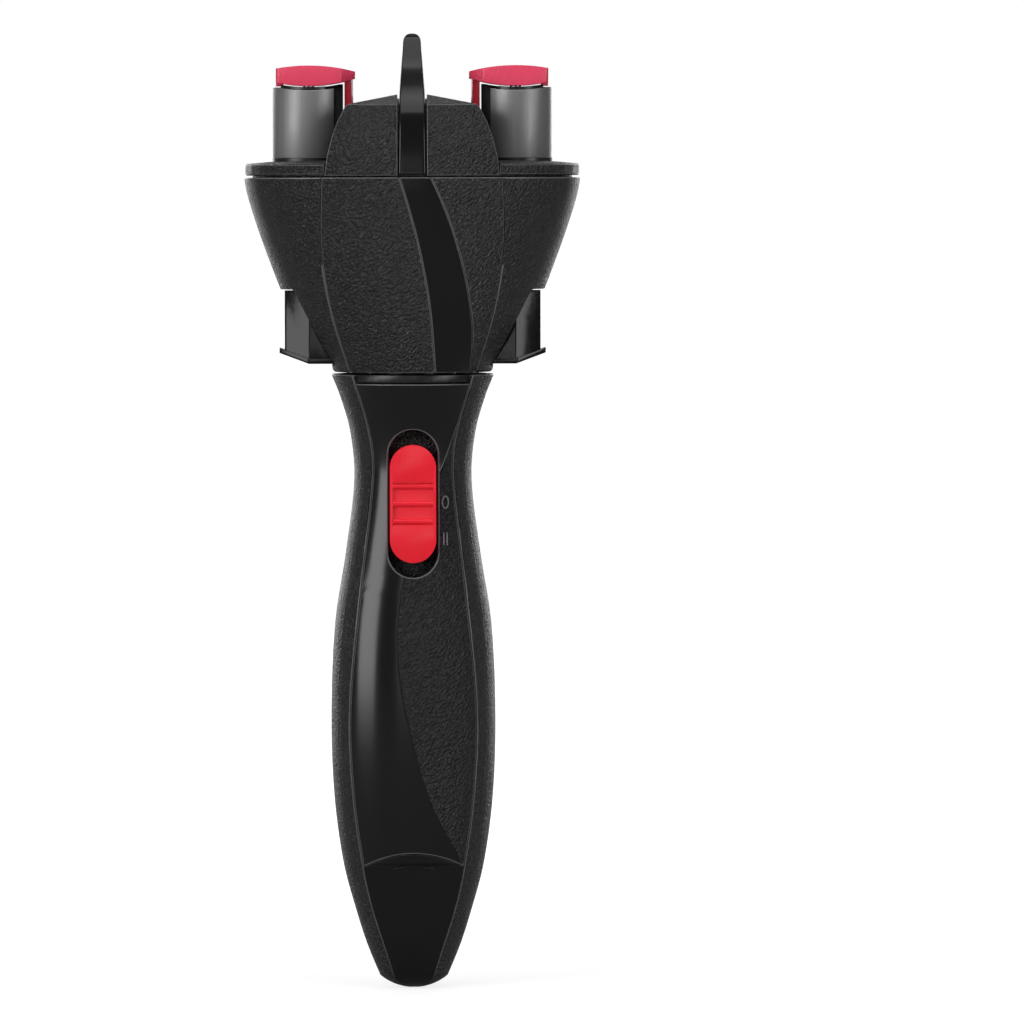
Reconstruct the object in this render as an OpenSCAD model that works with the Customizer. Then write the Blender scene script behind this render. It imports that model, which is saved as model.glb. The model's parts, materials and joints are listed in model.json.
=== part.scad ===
// Automatic hair braider: a battery handle with a slide switch and a turning head
// that carries two spindles with red strand hooks. Millimetres. +Z runs up the handle
// to the hooks, the switch faces -Y, and the origin is the lowest point of the tail.

/* [Handle] */
// Height of the handle from the tail to its top flange
handle_len = 155; // [145:1:170]
// Width of the handle at its belly
belly_w = 41.4; // [41:0.2:48]
// Depth of the handle at its belly
belly_d = 36; // [36:0.2:42]
// Height of the belly above the tail
belly_z = 71; // [66:1:76]
// Width of the neck under the flange
neck_w = 29.6; // [29.4:0.2:34]
// Depth of the neck under the flange
neck_d = 29.4; // [29.2:0.2:34]
// Height of the neck above the tail
neck_z = 128.9; // [126:0.5:132]
// Diameter of the round flange at the top of the handle
flange_d = 41; // [40.6:0.2:44]
// Width of the tail at its end
tail_w = 14.4; // [12:0.2:18]
// Depth of the tail at its end
tail_d = 12.4; // [10:0.2:16]
// Wall of the handle shells
shell_t = 2; // [1.6:0.1:2.2]

/* [Switch] */
// Width of the switch slot in the front panel
slot_w = 12.6; // [12:0.2:14]
// Length of the switch slot
slot_len = 36.9; // [36:0.1:38]
// Height of the middle of the slot above the tail
slot_z = 122.8; // [121:0.2:124]
// Length of the red slider
slider_len = 29.5; // [27:0.5:29.5]
// Travel of the slider each way from its middle stop
slider_travel = 3; // [2:0.1:3.2]
// How far the slider stands out of the panel
slider_proud = 2.2; // [1.5:0.1:3]

/* [Batteries] */
// Diameter of a cell
cell_d = 14.5; // [14:0.1:14.5]
// Length of a cell
cell_len = 50.5; // [49:0.1:50.5]
// Height of the cells' lower ends above the tail
cell_z = 38; // [38:0.5:40]
// Width of the battery opening in the rear shell
bay_w = 28; // [26:0.5:29]

/* [Drive] */
// Diameter across the round sides of the motor can
motor_d = 20.1; // [19:0.1:20.4]
// Thickness of the motor can across its flats
motor_flat = 15.1; // [14.5:0.1:15.4]
// Length of the motor can
motor_len = 25; // [22:0.5:25]
// Diameter of the gearbox
gearbox_d = 20; // [18:0.2:20.2]
// Length of the gearbox
gearbox_len = 16; // [12:0.5:16]
// Diameter of the drive shaft
shaft_d = 6; // [5:0.1:7]
// Teeth on the sun gear, an even number
sun_teeth = 38; // [38]
// Teeth on each spindle gear
spindle_teeth = 27; // [27]
// Thickness of the gears
gear_h = 6; // [4:0.5:6.5]

/* [Head] */
// Height of the tulip-shaped head body from its base to its rim
tulip_h = 48.8; // [48:0.2:54]
// Gap between the handle's flange and the head
head_gap = 0.6; // [0.4:0.1:1]
// Width of the head at its rim
rim_w = 84.6; // [84:0.2:92]
// Depth of the head at its rim
rim_d = 56; // [54:0.5:62]
// Diameter of the head at its base
base_d = 39.4; // [39:0.2:41]
// Wall of the head shells
head_t = 1.8; // [1.4:0.1:2]
// Thickness of the top plate at its edge
plate_h = 3; // [2.4:0.1:3.4]
// Height of the centre shield over the rim
shield_h = 20.5; // [18:0.5:23]
// Width of the centre shield at the rim
shield_w = 43.6; // [42:0.2:45]
// Height of the divider over the rim
divider_h = 35.6; // [30:0.2:40]
// Thickness of the divider at its foot
divider_w = 7.3; // [6:0.1:9]

/* [Spindles] */
// Outer diameter of the strand tubes
tube_d = 18.2; // [17.6:0.1:18.6]
// Wall of the strand tubes
tube_t = 1.4; // [1:0.1:1.8]
// Distance from the head's side at its rim to a spindle's axis
spindle_inset = 16.3; // [16:0.1:17]
// Height of a strand tube from its foot ring to its top
tube_h = 17.6; // [15:0.2:20]
// Diameter of the hook stems
stem_d = 3; // [2.5:0.1:3.6]
// Thickness of a hook's cap in its middle
cap_h = 5.1; // [4:0.1:6]
// Upward travel of the hooks and their pushers
hook_travel = 7; // [4:0.5:7]
// Wire of the hook springs
spring_wire = 0.7; // [0.5:0.05:0.7]

/* [Pushers] */
// Distance from a spindle's axis to its pusher's outer face
pusher_reach = 6.2; // [5.6:0.1:6.2]
// Width of a pusher's body from front to rear
pusher_w = 14; // [12:0.5:15]
// Thickness of a pusher's finger flange
finger_t = 1.2; // [1:0.1:1.6]

/* [Fits] */
// Radial clearance of a running bearing
run_gap = 0.05; // [0.02:0.01:0.09]
// Gap between fixed covers
seam = 0.15; // [0.1:0.05:0.2]
// Gap round moving pushers and sliders
slide_gap = 0.3; // [0.25:0.05:0.4]

/* [Hidden] */
$fn = 64;
big = 200; // reach of a cutting solid
round_out = 40; // points round an outer skin
round_in = 28; // points round an inner skin
eps = 0.01;

// Heights of the head
base_z = handle_len + head_gap;
rim_z = base_z + tulip_h;
plate_z = rim_z + 0.5;
plate_top = plate_z + plate_h;
crown = 0.8; // rise of the plate to its middle
foot_ring_top = plate_top + 1.4;
tube_top = foot_ring_top + tube_h;
cap_z = tube_top + 0.5; // lowest point of a cap
chassis_z = rim_z - 14.4;
chassis_h = 3;
journal_h = 5;
gear_z = rim_z - 8.2;
journal_d = 8; // diameter of a spindle in its bearing
shoulder_d = 10; // diameter of a spindle in its gear
tube_x = rim_w / 2 - spindle_inset;
gear_module = 2 * tube_x / (sun_teeth + spindle_teeth);
pusher_out = tube_x + pusher_reach;
sun_r = gear_module * sun_teeth / 2;

// Shape of the handle: [share of the way from one station to the next, share of the
// change in size, squareness of the outline]
tail_to_belly = [[0, 0, 2.2], [0.15, 0.33, 2.3], [0.28, 0.55, 2.4], [0.45, 0.785, 2.5],
    [0.7, 0.955, 2.5]];
belly_to_neck = [[0, 0, 2.5], [0.371, 0.169, 2.45], [0.686, 0.644, 2.3]];
neck_to_flange = [[0, 0, 2.1], [0.464, 0.193, 2.05], [0.808, 0.649, 2], [1, 1, 2]];
// Shape of the head: [share of the height, share of the widening, squareness]
base_to_rim = [[0, 0, 2], [0.09, 0.17, 2.05], [0.193, 0.34, 2.1], [0.295, 0.469, 2.15],
    [0.424, 0.597, 2.2], [0.59, 0.735, 2.25], [0.756, 0.863, 2.3], [0.92, 0.969, 2.35],
    [1, 1, 2.35]];

function mix(a, b, t) = a + (b - a) * t;
function stations(shape, z0, z1, w0, w1, d0, d1) = [for (s = shape)
    [mix(z0, z1, s[0]), mix(w0, w1, s[1]) / 2, mix(d0, d1, s[1]) / 2, s[2]]];
handle_table = concat(
    stations(tail_to_belly, 0, belly_z, tail_w, belly_w, tail_d, belly_d),
    stations(belly_to_neck, belly_z, neck_z, belly_w, neck_w, belly_d, neck_d),
    stations(neck_to_flange, neck_z, handle_len, neck_w, flange_d, neck_d, flange_d));
head_table = stations(base_to_rim, base_z, rim_z, base_d, rim_w, base_d, rim_d);

// Smooth curve through column c of a table of stations, at height z
function seg(t, z, i = 0) = i >= len(t) - 2 || z < t[i + 1][0] ? i : seg(t, z, i + 1);
function slope(t, i, c) = let (a = max(i - 1, 0), b = min(i + 1, len(t) - 1))
    (t[b][c] - t[a][c]) / (t[b][0] - t[a][0]);
function curve(t, z, c) = let (i = seg(t, z), h = t[i + 1][0] - t[i][0],
        u = (z - t[i][0]) / h, p = t[i][c], q = t[i + 1][c],
        m = slope(t, i, c) * h, n = slope(t, i + 1, c) * h)
    p * (2 * u * u * u - 3 * u * u + 1) + m * (u * u * u - 2 * u * u + u)
        + q * (3 * u * u - 2 * u * u * u) + n * (u * u * u - u * u);
function sgn_pow(v, e) = sign(v) * pow(abs(v), e);
function oval(a, b, e, z, n) = [for (i = [0:n - 1]) let (t = 360 * i / n)
    [a * sgn_pow(cos(t), 2 / e), b * sgn_pow(sin(t), 2 / e), z]];
function section(t, z, inset, n, at = undef) = oval(curve(t, z, 1) - inset,
    curve(t, z, 2) - inset, curve(t, z, 3), is_undef(at) ? z : at, n);
function steps(z0, z1, n) = [for (i = [0:n]) mix(z0, z1, i / n)];

// Closed skin over a stack of rings, each counter-clockwise seen from the last one
module skin(rings) {
    n = len(rings[0]);
    m = len(rings) - 1;
    polyhedron(points = [for (r = rings) each r], faces = concat(
        [[for (i = [0:n - 1]) i], [for (i = [n - 1:-1:0]) m * n + i]],
        [for (j = [0:m - 1], i = [0:n - 1]) let (k = (i + 1) % n)
            each [[j * n + i, j * n + n + i, j * n + n + k], [j * n + i, j * n + n + k, j * n + k]]]));
}

// Solid of the handle or the head, shrunk by inset, between two heights
module body(t, inset, z0, z1, rows, n) {
    skin([for (z = steps(z0, z1, rows)) section(t, z, inset, n)]);
}

// Flat outline [x, z] pushed along Y, and outline [y, z] pushed along X
module along_y(y0, y1) {
    translate([0, y1, 0]) rotate([90, 0, 0]) linear_extrude(y1 - y0) children();
}
module along_x(x0, x1) {
    translate([x0, 0, 0]) rotate([90, 0, 90]) linear_extrude(x1 - x0) children();
}
module up_slot(w, len) { // upright slot with round ends
    square([w, len - w], center = true);
    for (s = [-1, 1]) translate([0, s * (len - w) / 2]) circle(d = w);
}
// Polygon with every corner rounded by r
function corner(p, q, s, r, k) = let (a = (p - q) / norm(p - q), b = (s - q) / norm(s - q),
        half = acos(max(-1, min(1, a * b))) / 2, d = r / tan(half), c = q + (a + b) / norm(a + b)
        * r / sin(half), u = q + a * d - c, v = q + b * d - c)
    [for (i = [0:k]) let (w = mix(u, v, i / k)) c + w / norm(w) * r];
function rounded(p, r, k = 4) = let (n = len(p))
    [for (i = [0:n - 1]) each corner(p[(i + n - 1) % n], p[i], p[(i + 1) % n], r, k)];
function mirrored(p) = concat(p, [for (i = [len(p) - 1:-1:0]) [-p[i][0], p[i][1]]]);

module bore(d, z0, z1) {
    translate([0, 0, z0]) cylinder(d = d, h = z1 - z0);
}
module at_side(side) { // side -1 is left; pieces are drawn for the left side
    translate([side * tube_x, 0, 0]) mirror([side > 0 ? 1 : 0, 0, 0]) children();
}

// ---------------------------------------------------------------- handle shells

tail_rise = 2.7; // height of the tail's rounded end
function arc_r(half) = (half * half + tail_rise * tail_rise) / (2 * tail_rise);
tail_arc_r = arc_r(tail_w / 2 + 0.8); // round end seen from the front
tail_side_r = arc_r(tail_d / 2 + 0.6); // round end seen from the side
panel_top = handle_len - 2.2;
collar_z = handle_len - 4.4;
lip_z = handle_len - 1.9;
lip_r = flange_d / 2 - 1.5;
// Half width of the front panel up the handle: [height, half width]
panel_table = [[-2, 3.6], [0.12 * belly_z, 6.6], [0.28 * belly_z, 10.2],
    [0.43 * belly_z, 12.6], [0.7 * belly_z, 15.2], [belly_z, 16],
    [mix(belly_z, neck_z, 0.5), 13.4], [neck_z, 10.2], [mix(neck_z, handle_len, 0.4), 10.8],
    [handle_len, 15.2]];
facet_z = 0.49 * belly_z; // top of the slanted tail facet
facet_sag = 3.9; // rise of the arc over the facet
facet_r = (pow(curve(panel_table, facet_z, 1), 2) + facet_sag * facet_sag) / (2 * facet_sag);
// Depth of the facet at height z: flat across, and flush with the shells round it
function facet_y(z) = let (r = z - facet_z + facet_r,
        x = min(curve(panel_table, z, 1), sqrt(max(0, facet_r * facet_r - r * r))),
        e = curve(handle_table, z, 3))
    -curve(handle_table, z, 2) * pow(1 - pow(x / curve(handle_table, z, 1), e), 1 / e);

module tail_end() { // keeps what lies inside the tail's round end
    intersection() {
        along_y(-big, big) {
            translate([0, tail_arc_r]) circle(r = tail_arc_r, $fn = 96);
            translate([-big / 2, tail_rise]) square([big, big]);
        }
        along_x(-big, big) {
            translate([0, tail_side_r]) circle(r = tail_side_r, $fn = 96);
            translate([-big / 2, tail_rise]) square([big, big]);
        }
    }
}
module handle_solid() {
    body(handle_table, 0, 0, handle_len, 24, round_out);
}
module handle_core(inset, z0, z1, rows) {
    body(handle_table, inset, z0, z1, rows, round_in);
}
module panel_outline(gap) {
    rows = [for (z = steps(-1, handle_len, 26)) [curve(panel_table, z, 1) - gap, z]];
    polygon(mirrored(rows));
}
module facet_arc(gap) { // everything above the arc over the tail facet
    difference() {
        translate([-big / 2, facet_z - facet_sag - 1]) square([big, big]);
        translate([0, facet_z - facet_r]) circle(r = facet_r + gap, $fn = 128);
    }
}
module facet_side() { // keeps what lies behind the slanted face of the tail
    along_x(-big, big) polygon(concat([[big, -1]],
        [for (z = concat(steps(0, facet_z - facet_sag - 2, 8), steps(facet_z - facet_sag, facet_z, 5)))
            [facet_y(z), z]], [[facet_y(facet_z) - 3, facet_z + 3], [big, facet_z + 3]]));
}
screw_spots = [[0, 17], [-9.6, 97.5], [9.6, 97.5]]; // [x, z] of the handle screws
boss_split = -3; // the depth where the bosses of the two shells meet
boss_z0 = screw_spots[1][1] - 5.5; // heights that hold the upper bosses
boss_z1 = screw_spots[1][1] + 6.5;
function seat_y(p) = curve(handle_table, p[1], 2) - 3.2; // where a screw's head sits
module on_screw(p, y) { // pushes circles from depth y towards the front
    translate([p[0], y, p[1]]) rotate([90, 0, 0]) children();
}
module front_bosses(spots) { // bosses of the front pieces, open to the screws
    for (p = spots) on_screw(p, boss_split - seam) difference() {
        cylinder(r = 3, h = big / 2);
        translate([0, 0, -1]) cylinder(r = 1, h = 8, $fn = 24);
    }
}
bay_z0 = cell_z - 3.6;
bay_z1 = cell_z + cell_len + 3.2;
module bay_outline(gap) {
    x = bay_w / 2 - gap;
    polygon(rounded([[-x, bay_z0 + gap], [x, bay_z0 + gap], [x, bay_z1 - gap],
        [-x, bay_z1 - gap]], 4 - gap));
}

module cover_catches() { // seats under both ends of the battery cover
    for (e = [[bay_z0, -1], [bay_z1, 1]]) let (y = curve(handle_table, e[0], 2) - shell_t,
            z0 = e[0] - (e[1] < 0 ? 3 : 1.4), z1 = e[0] + (e[1] < 0 ? 1.4 : 3)) {
        translate([-4, y - 2, z0]) cube([8, 1.4, z1 - z0]);
        translate([-4, y - 2, e[1] < 0 ? z0 : e[0] + 0.4]) cube([8, 2.6, 2.6]);
    }
}

module rear_shell() color([0.09, 0.09, 0.095]) {
    difference() {
        union() {
            difference() {
                intersection() {
                    handle_solid();
                    tail_end();
                }
                handle_core(shell_t, shell_t, handle_len + eps, 16);
                along_y(-big, 0) panel_outline(0);
                along_y(2, big) bay_outline(0);
                bore(2 * lip_r + 2 * seam, lip_z - seam, handle_len + 1);
            }
            intersection() { // bosses for the screws
                handle_core(shell_t / 2, 2, boss_z1, 8);
                for (p = screw_spots) on_screw(p, big)
                    cylinder(r = 3.5, h = big - boss_split);
            }
            cover_catches();
        }
        for (p = screw_spots) {
            on_screw(p, big) cylinder(r = 2.6, h = big - seat_y(p), $fn = 24);
            on_screw(p, big) cylinder(r = 1.2, h = big * 1.5, $fn = 24);
        }
    }
}

module switch_hole() {
    translate([0, slot_z]) up_slot(slot_w, slot_len);
}
floor_y = -(curve(handle_table, slot_z, 2) - shell_t - 1.3); // face of the slot's floor
floor_t = 1.2;
floor_rim = 0.8; // how far the floor reaches past the slot
module front_panel() color([0.03, 0.03, 0.035]) {
    difference() {
        intersection() {
            union() {
                difference() {
                    handle_solid();
                    handle_core(shell_t, facet_z - 8, handle_len + 1, 14);
                }
                intersection() { // flat-backed pad round the switch slot
                    handle_core(shell_t / 2, slot_z - slot_len, handle_len, 8);
                    along_y(-big, floor_y) translate([0, slot_z]) up_slot(slot_w + 4, slot_len + 4);
                }
            }
            along_y(-big, 0) intersection() {
                panel_outline(seam);
                facet_arc(seam);
                translate([-big / 2, -big]) square([big, panel_top + big]);
            }
        }
        along_y(-big, 0) switch_hole();
        along_y(floor_y, 0) translate([0, slot_z])
            up_slot(slot_w + 2 * (floor_rim + seam), slot_len + 2 * (floor_rim + seam));
    }
    intersection() {
        handle_core(shell_t / 2, boss_z0, boss_z1, 3);
        front_bosses([screw_spots[1], screw_spots[2]]);
    }
}

module tail_panel() color([0.02, 0.02, 0.02]) {
    difference() {
        intersection() {
            body(handle_table, 0, 0, facet_z + 2, 8, round_out);
            tail_end();
            facet_side();
            along_y(-big, 0) difference() {
                panel_outline(seam);
                facet_arc(0);
            }
        }
        intersection() { // hollow behind the facet
            handle_core(shell_t + 1, shell_t + 1, facet_z + 4, 7);
            translate([0, 2.2, 0]) facet_side();
        }
    }
    intersection() {
        handle_core(shell_t, shell_t, facet_z, 6);
        translate([0, 1, 0]) facet_side();
        front_bosses([screw_spots[0]]);
    }
}

hub_r = 11;
module collar_ring() color([0.02, 0.02, 0.02]) {
    difference() {
        union() {
            bore(2 * (curve(handle_table, collar_z, 1) - shell_t - seam), collar_z, lip_z + eps);
            bore(2 * lip_r, lip_z, handle_len + 0.1);
        }
        bore(2 * (hub_r + run_gap), collar_z - 1, handle_len + 1);
    }
}

// ---------------------------------------------------------------- switch

knob_front = -(curve(handle_table, slot_z, 2) + slider_proud);
stem_slot_w = 3.4;
module switch_floor() color([0.05, 0.05, 0.05]) {
    difference() {
        along_y(floor_y + seam, floor_y + seam + floor_t) translate([0, slot_z])
            up_slot(slot_w + 2 * floor_rim, slot_len + 2 * floor_rim);
        along_y(-big, 0) translate([0, slot_z])
            up_slot(stem_slot_w, stem_slot_w + 2 * slider_travel + 1.2);
    }
}
module switch_slider() color([0.85, 0.03, 0.08]) {
    knob_w = slot_w - 2 * slide_gap - 0.4;
    saddle = 10.6; // length of the waist that carries the ribs
    difference() {
        along_y(knob_front, floor_y - 0.1) translate([0, slot_z]) up_slot(knob_w, slider_len);
        along_y(knob_front - 1, knob_front + 0.7) translate([0, slot_z])
            square([knob_w - 1.6, saddle], center = true);
    }
    for (k = [-1, 0, 1]) translate([-knob_w / 2 + 0.4, knob_front + 0.75, slot_z + k * 4.4])
        rotate([0, 90, 0]) cylinder(r = 0.75, h = knob_w - 0.8, $fn = 24);
    translate([-stem_slot_w / 2 + slide_gap, floor_y - 0.2, slot_z - 1.2])
        cube([stem_slot_w - 2 * slide_gap, 3.4, 2.4]);
}
board_y = -6.6;
board_z = slot_z - 18;
switch_face = floor_y + seam + floor_t + 0.4;
module slide_switch() color([0.7, 0.7, 0.72]) {
    difference() {
        translate([-3.6, switch_face, slot_z - 8]) cube([7.2, board_y - switch_face, 16]);
        translate([-1.6, switch_face - 1, slot_z - 1.5 - slider_travel])
            cube([3.2, 2.6, 3 + 2 * slider_travel]);
    }
}
module circuit_board() color([0.05, 0.3, 0.12]) {
    post_d = 2.4;
    board_top = motor_top - 0.3;
    translate([-6.4, board_y, board_z]) cube([12.8, 1, board_top - board_z]);
    for (z = [board_z + 2, board_z + 6]) translate([0, board_y + 0.2, z]) rotate([90, 0, 0])
        cylinder(d = post_d, h = board_y + 0.2 - floor_y - seam - floor_t);
}

// ---------------------------------------------------------------- motor and gearbox

gearbox_top = collar_z - 1.2;
gearbox_z = gearbox_top - gearbox_len;
bracket_h = 1.8;
motor_top = gearbox_z - bracket_h;
motor_y = 2.4;
motor_shaft_d = 2;
module motor() color([0.72, 0.73, 0.75]) {
    z = motor_top - motor_len;
    translate([0, motor_y, 0]) {
        intersection() {
            bore(motor_d, z, motor_top);
            translate([-motor_d / 2, -motor_flat / 2, z]) cube([motor_d, motor_flat, motor_len]);
        }
        bore(6, motor_top - eps, motor_top + 1.4);
        bore(motor_shaft_d, motor_top, motor_top + 8);
        for (s = [-1, 1]) translate([s * 6 - 0.3, -1, z - 3]) cube([0.6, 2, 3 + eps]);
    }
}
module motor_pinion() color([0.9, 0.88, 0.8]) {
    translate([0, motor_y, 0]) difference() {
        translate([0, 0, motor_top + 2.6]) linear_extrude(5) gear_outline(0.5, 9, 0);
        bore(motor_shaft_d, motor_top, motor_top + 9);
    }
}
module motor_bracket() color([0.82, 0.82, 0.78]) {
    difference() {
        union() {
            handle_core(shell_t + 0.15, motor_top, motor_top + bracket_h, 2);
            intersection() { // cradle down the sides of the motor
                handle_core(shell_t + 0.15, motor_top - 14, motor_top + eps, 4);
                for (s = [-1, 1]) translate([s * (motor_d / 2 + 1.4) - 1.1, motor_y - 4, motor_top - 14])
                    cube([2.2, 8, 14 + eps]);
            }
        }
        translate([0, motor_y, 0]) bore(6.4, motor_top - 1, motor_top + bracket_h + 1);
        translate([-8, -big, motor_top - 1]) cube([16, big + board_y + 1.2, bracket_h + 2]);
    }
}
module gearbox() color([0.85, 0.85, 0.82]) {
    difference() {
        bore(gearbox_d, gearbox_z, gearbox_top);
        bore(gearbox_d - 3, gearbox_z - eps, gearbox_top - 6);
        bore(shaft_d + 2 * run_gap, gearbox_z, gearbox_top + 1);
    }
}

// ---------------------------------------------------------------- batteries

cell_x = cell_d / 2 + 0.3;
cell_y = 4.4;
cell_top = cell_z + cell_len;
module battery(side) color(side < 0 ? [0.75, 0.6, 0.2] : [0.2, 0.35, 0.6]) {
    nub = 1; // the plus pole
    translate([side * cell_x, cell_y, 0]) mirror([0, 0, side > 0 ? 1 : 0])
        translate([0, 0, side > 0 ? -cell_z - cell_top : 0]) {
            bore(cell_d, cell_z, cell_top - nub);
            bore(5.5, cell_top - nub - eps, cell_top);
        }
}
module battery_left() battery(-1);
module battery_right() battery(1);
tray_wall = 1.2;
tray_z0 = cell_z - 3.2;
tray_z1 = cell_top + 1.2;
module battery_tray() color([0.12, 0.12, 0.13]) {
    difference() {
        handle_core(shell_t + 0.25, tray_z0 - tray_wall, tray_z1 + tray_wall, 9);
        translate([-big / 2, cell_y - cell_d / 2 - 0.4, tray_z0]) cube([big, big, tray_z1 - tray_z0]);
        translate([-big / 2, -big, 0]) cube([big, big + cell_y - cell_d / 2 - 0.4 - tray_wall, big]);
        along_y(5, big) bay_outline(-2.4);
    }
}
module battery_contacts() color([0.8, 0.8, 0.78]) {
    w = 8;
    for (s = [-1, 1]) translate([s * cell_x - w / 2, cell_y - w / 2, cell_top + 0.1])
        cube([w, w, tray_z1 - cell_top - 0.11]);
    translate([-cell_x - w / 2, cell_y - w / 2, tray_z0 + eps]) cube([2 * cell_x + w, w, 0.4]);
}
module contact_springs() color([0.8, 0.8, 0.78]) {
    for (s = [-1, 1]) translate([s * cell_x, cell_y, 0])
        skin(coil(3, 0.6, 3, tray_z0 + 0.42, cell_z - 0.02, 12, 6));
}
module battery_leads() {
    // From the upper contacts, up past the motor to the circuit board
    for (s = [-1, 1]) color(s < 0 ? [0.7, 0.05, 0.05] : [0.05, 0.05, 0.05]) skin(hose(
        [for (p = [[4.8, -1.2, tray_z1 + tray_wall + 0.1], [4.8, -2, 96], [4.6, -4.5, 101],
            [4.4, board_y + 0.5, board_z - 0.35]])
            [s * p[0], p[1], p[2]]], 1.1, 8));
}

module battery_cover() color([0.07, 0.07, 0.075]) {
    flat_y = belly_d / 2 - 0.5; // flat rest on the rear of the cover
    difference() {
        intersection() {
            body(handle_table, 0, bay_z0 - 1, bay_z1 + 1, 10, round_out);
            along_y(2, flat_y) bay_outline(seam);
        }
        handle_core(shell_t, bay_z0 - 2, bay_z1 + 2, 9);
    }
    intersection() { // stiffening ribs across the inside
        handle_core(shell_t - 0.5, bay_z0, bay_z1, 8);
        for (z = [bay_z0 + 6, bay_z1 - 7]) translate([-bay_w / 2 + 3, cell_y + cell_d / 2 + 0.4, z])
            cube([bay_w - 6, big, 1.4]);
    }
}
module handle_screws() color([0.6, 0.6, 0.62]) {
    for (p = screw_spots) on_screw(p, seat_y(p)) {
        mirror([0, 0, 1]) cylinder(r = 2.2, h = 1.6, $fn = 24);
        cylinder(r = 0.98, h = seat_y(p) - boss_split + 4, $fn = 24);
    }
}

// ---------------------------------------------------------------- gears and springs

pressure = 20;
function inv(r, base) = r <= base ? 0 : sqrt(r * r / base / base - 1) * 180 / PI - acos(base / r);
module gear_outline(m, teeth, turn) {
    pitch = m * teeth / 2;
    base = pitch * cos(pressure);
    tip = pitch + 0.95 * m;
    root = pitch - 1.2 * m;
    play = 0.06 * 180 / PI / pitch; // half the backlash, as an angle
    flank = [for (r = [root, max(base, root + 0.05), pitch, (pitch + tip) / 2, tip])
        [r, 90 / teeth + inv(pitch, base) - inv(r, base) - play]];
    polygon([for (i = [0:teeth - 1]) let (a = turn + 360 * i / teeth)
        each concat([for (f = flank) f[0] * [cos(a - f[1]), sin(a - f[1])]],
            [for (k = [4:-1:0]) flank[k][0] * [cos(a + flank[k][1]), sin(a + flank[k][1])]])]);
}
// Rings of a coil spring of mean radius r from z0 to z1, outer faces on both heights
function coil(r, wire, turns, z0, z1, per_turn, sides) = [for (i = [0:turns * per_turn])
    let (a = 360 * i / per_turn, z = mix(z0 + wire / 2, z1 - wire / 2, i / turns / per_turn))
    [for (j = [0:sides - 1]) let (b = 360 * j / sides, q = r + wire / 2 * cos(b))
        [q * cos(a), q * sin(a), z - wire / 2 * sin(b)]]];
// Rings of a lead along points p
function unit(v) = v / norm(v);
function hose(p, d, sides) = let (n = len(p) - 1) [for (i = [0:n])
    let (t = unit(p[min(i + 1, n)] - p[max(i - 1, 0)]), u = unit(cross([0, 1, 0], t)),
        v = cross(t, u))
    [for (j = [0:sides - 1]) p[i] + d / 2 * (cos(360 * j / sides) * u + sin(360 * j / sides) * v)]];

// ---------------------------------------------------------------- head shells

// Half width of the centre panels up the head: [share of the height, half width]
centre_table = [[-0.05, 14.9], [0.08, 17], [0.28, 19.9], [0.5, 22], [0.7, 22.9], [1.05, 22.6]];
// Left and right edges of the glossy swoosh: [share of the height, x]
swoosh_left = [[-0.05, 5.8], [0.32, 4.4], [0.59, 2.2], [0.825, -0.65], [1.05, -4]];
swoosh_right = [[-0.05, 14.2], [0.2, 15], [0.4, 14], [0.61, 11.8], [0.825, 8.4], [1.05, 3.6]];
swoosh_t = 0.9;
// Open side under each pod, as [x, height under the rim]
pod_x = tube_x + 3.4;
pod_z = rim_z - 28;
side_x = base_d / 2 + 0.6;
side_z = base_z + 2.2;
pusher_top = pod_z - 0.4;

module centre_outline(gap) {
    polygon(mirrored([for (s = steps(-0.05, 1.05, 22))
        [curve(centre_table, s, 1) - gap, mix(base_z, rim_z, s)]]));
}
module swoosh_outline(gap) {
    rows = steps(-0.02, 1.02, 20);
    polygon(concat([for (s = rows) [curve(swoosh_right, s, 1) - gap, mix(base_z, rim_z, s)]],
        [for (i = [len(rows) - 1:-1:0])
            [curve(swoosh_left, rows[i], 1) + gap, mix(base_z, rim_z, rows[i])]]));
}
function pod_cut(g) = [[side_x - g, base_z - big / 4], [side_x - g, side_z],
    [pod_x - g, pod_z - 1 + g / 2], [pod_x - g + 0.7, pod_z + g * 0.4], [pod_x + 1.6, pod_z + 0.5 + g],
    [pod_x + 3.6, pod_z - 0.4 + g], [big / 2, pod_z - 0.4 + g], [big / 2, base_z - big / 4]];
module both_sides() {
    children();
    mirror([1, 0, 0]) children();
}
flange_w = pusher_w + 2.6;
pusher_in = tube_x - 7.4;
bend_x = tube_x; // where a pusher's flange turns up
// From above a pusher is a block whose outer corners are cut off
function pusher_plan(half, from, out, taper = 3.2) =
    let (nose = half - taper, bend = bend_x + (half - pusher_w / 2) / 4)
    [[from, -half], [bend, -half], [out, -nose], [out, nose], [bend, half], [from, half]];
pusher_z = base_z + 2.1;
module head_solid(inset) { // a little taller when it is a cutter
    body(head_table, inset, base_z - sign(inset), rim_z + sign(inset), 14, round_out);
}
module tulip_shell() { // walls of the head, all round
    difference() {
        head_solid(0);
        difference() {
            skin(concat([section(head_table, base_z, head_t, round_in, base_z - 1)],
                [for (z = steps(base_z, rim_z, 10)) section(head_table, z, head_t, round_in)],
                [section(head_table, rim_z, head_t, round_in, rim_z + 1)]));
            both_sides() along_y(-big, big) polygon(pod_cut(head_t));
        }
        both_sides() {
            along_y(-big, big) polygon(pod_cut(0));
            translate([0, 0, pusher_z]) linear_extrude(30)
                polygon(pusher_plan(pusher_w / 2 + slide_gap, pusher_in - slide_gap, pusher_out + slide_gap));
            translate([pusher_in - slide_gap, -flange_w / 2 - slide_gap, pusher_z - slide_gap])
                cube([14, flange_w + 2 * slide_gap, hook_travel + 2.2]);
        }
    }
}
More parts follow.
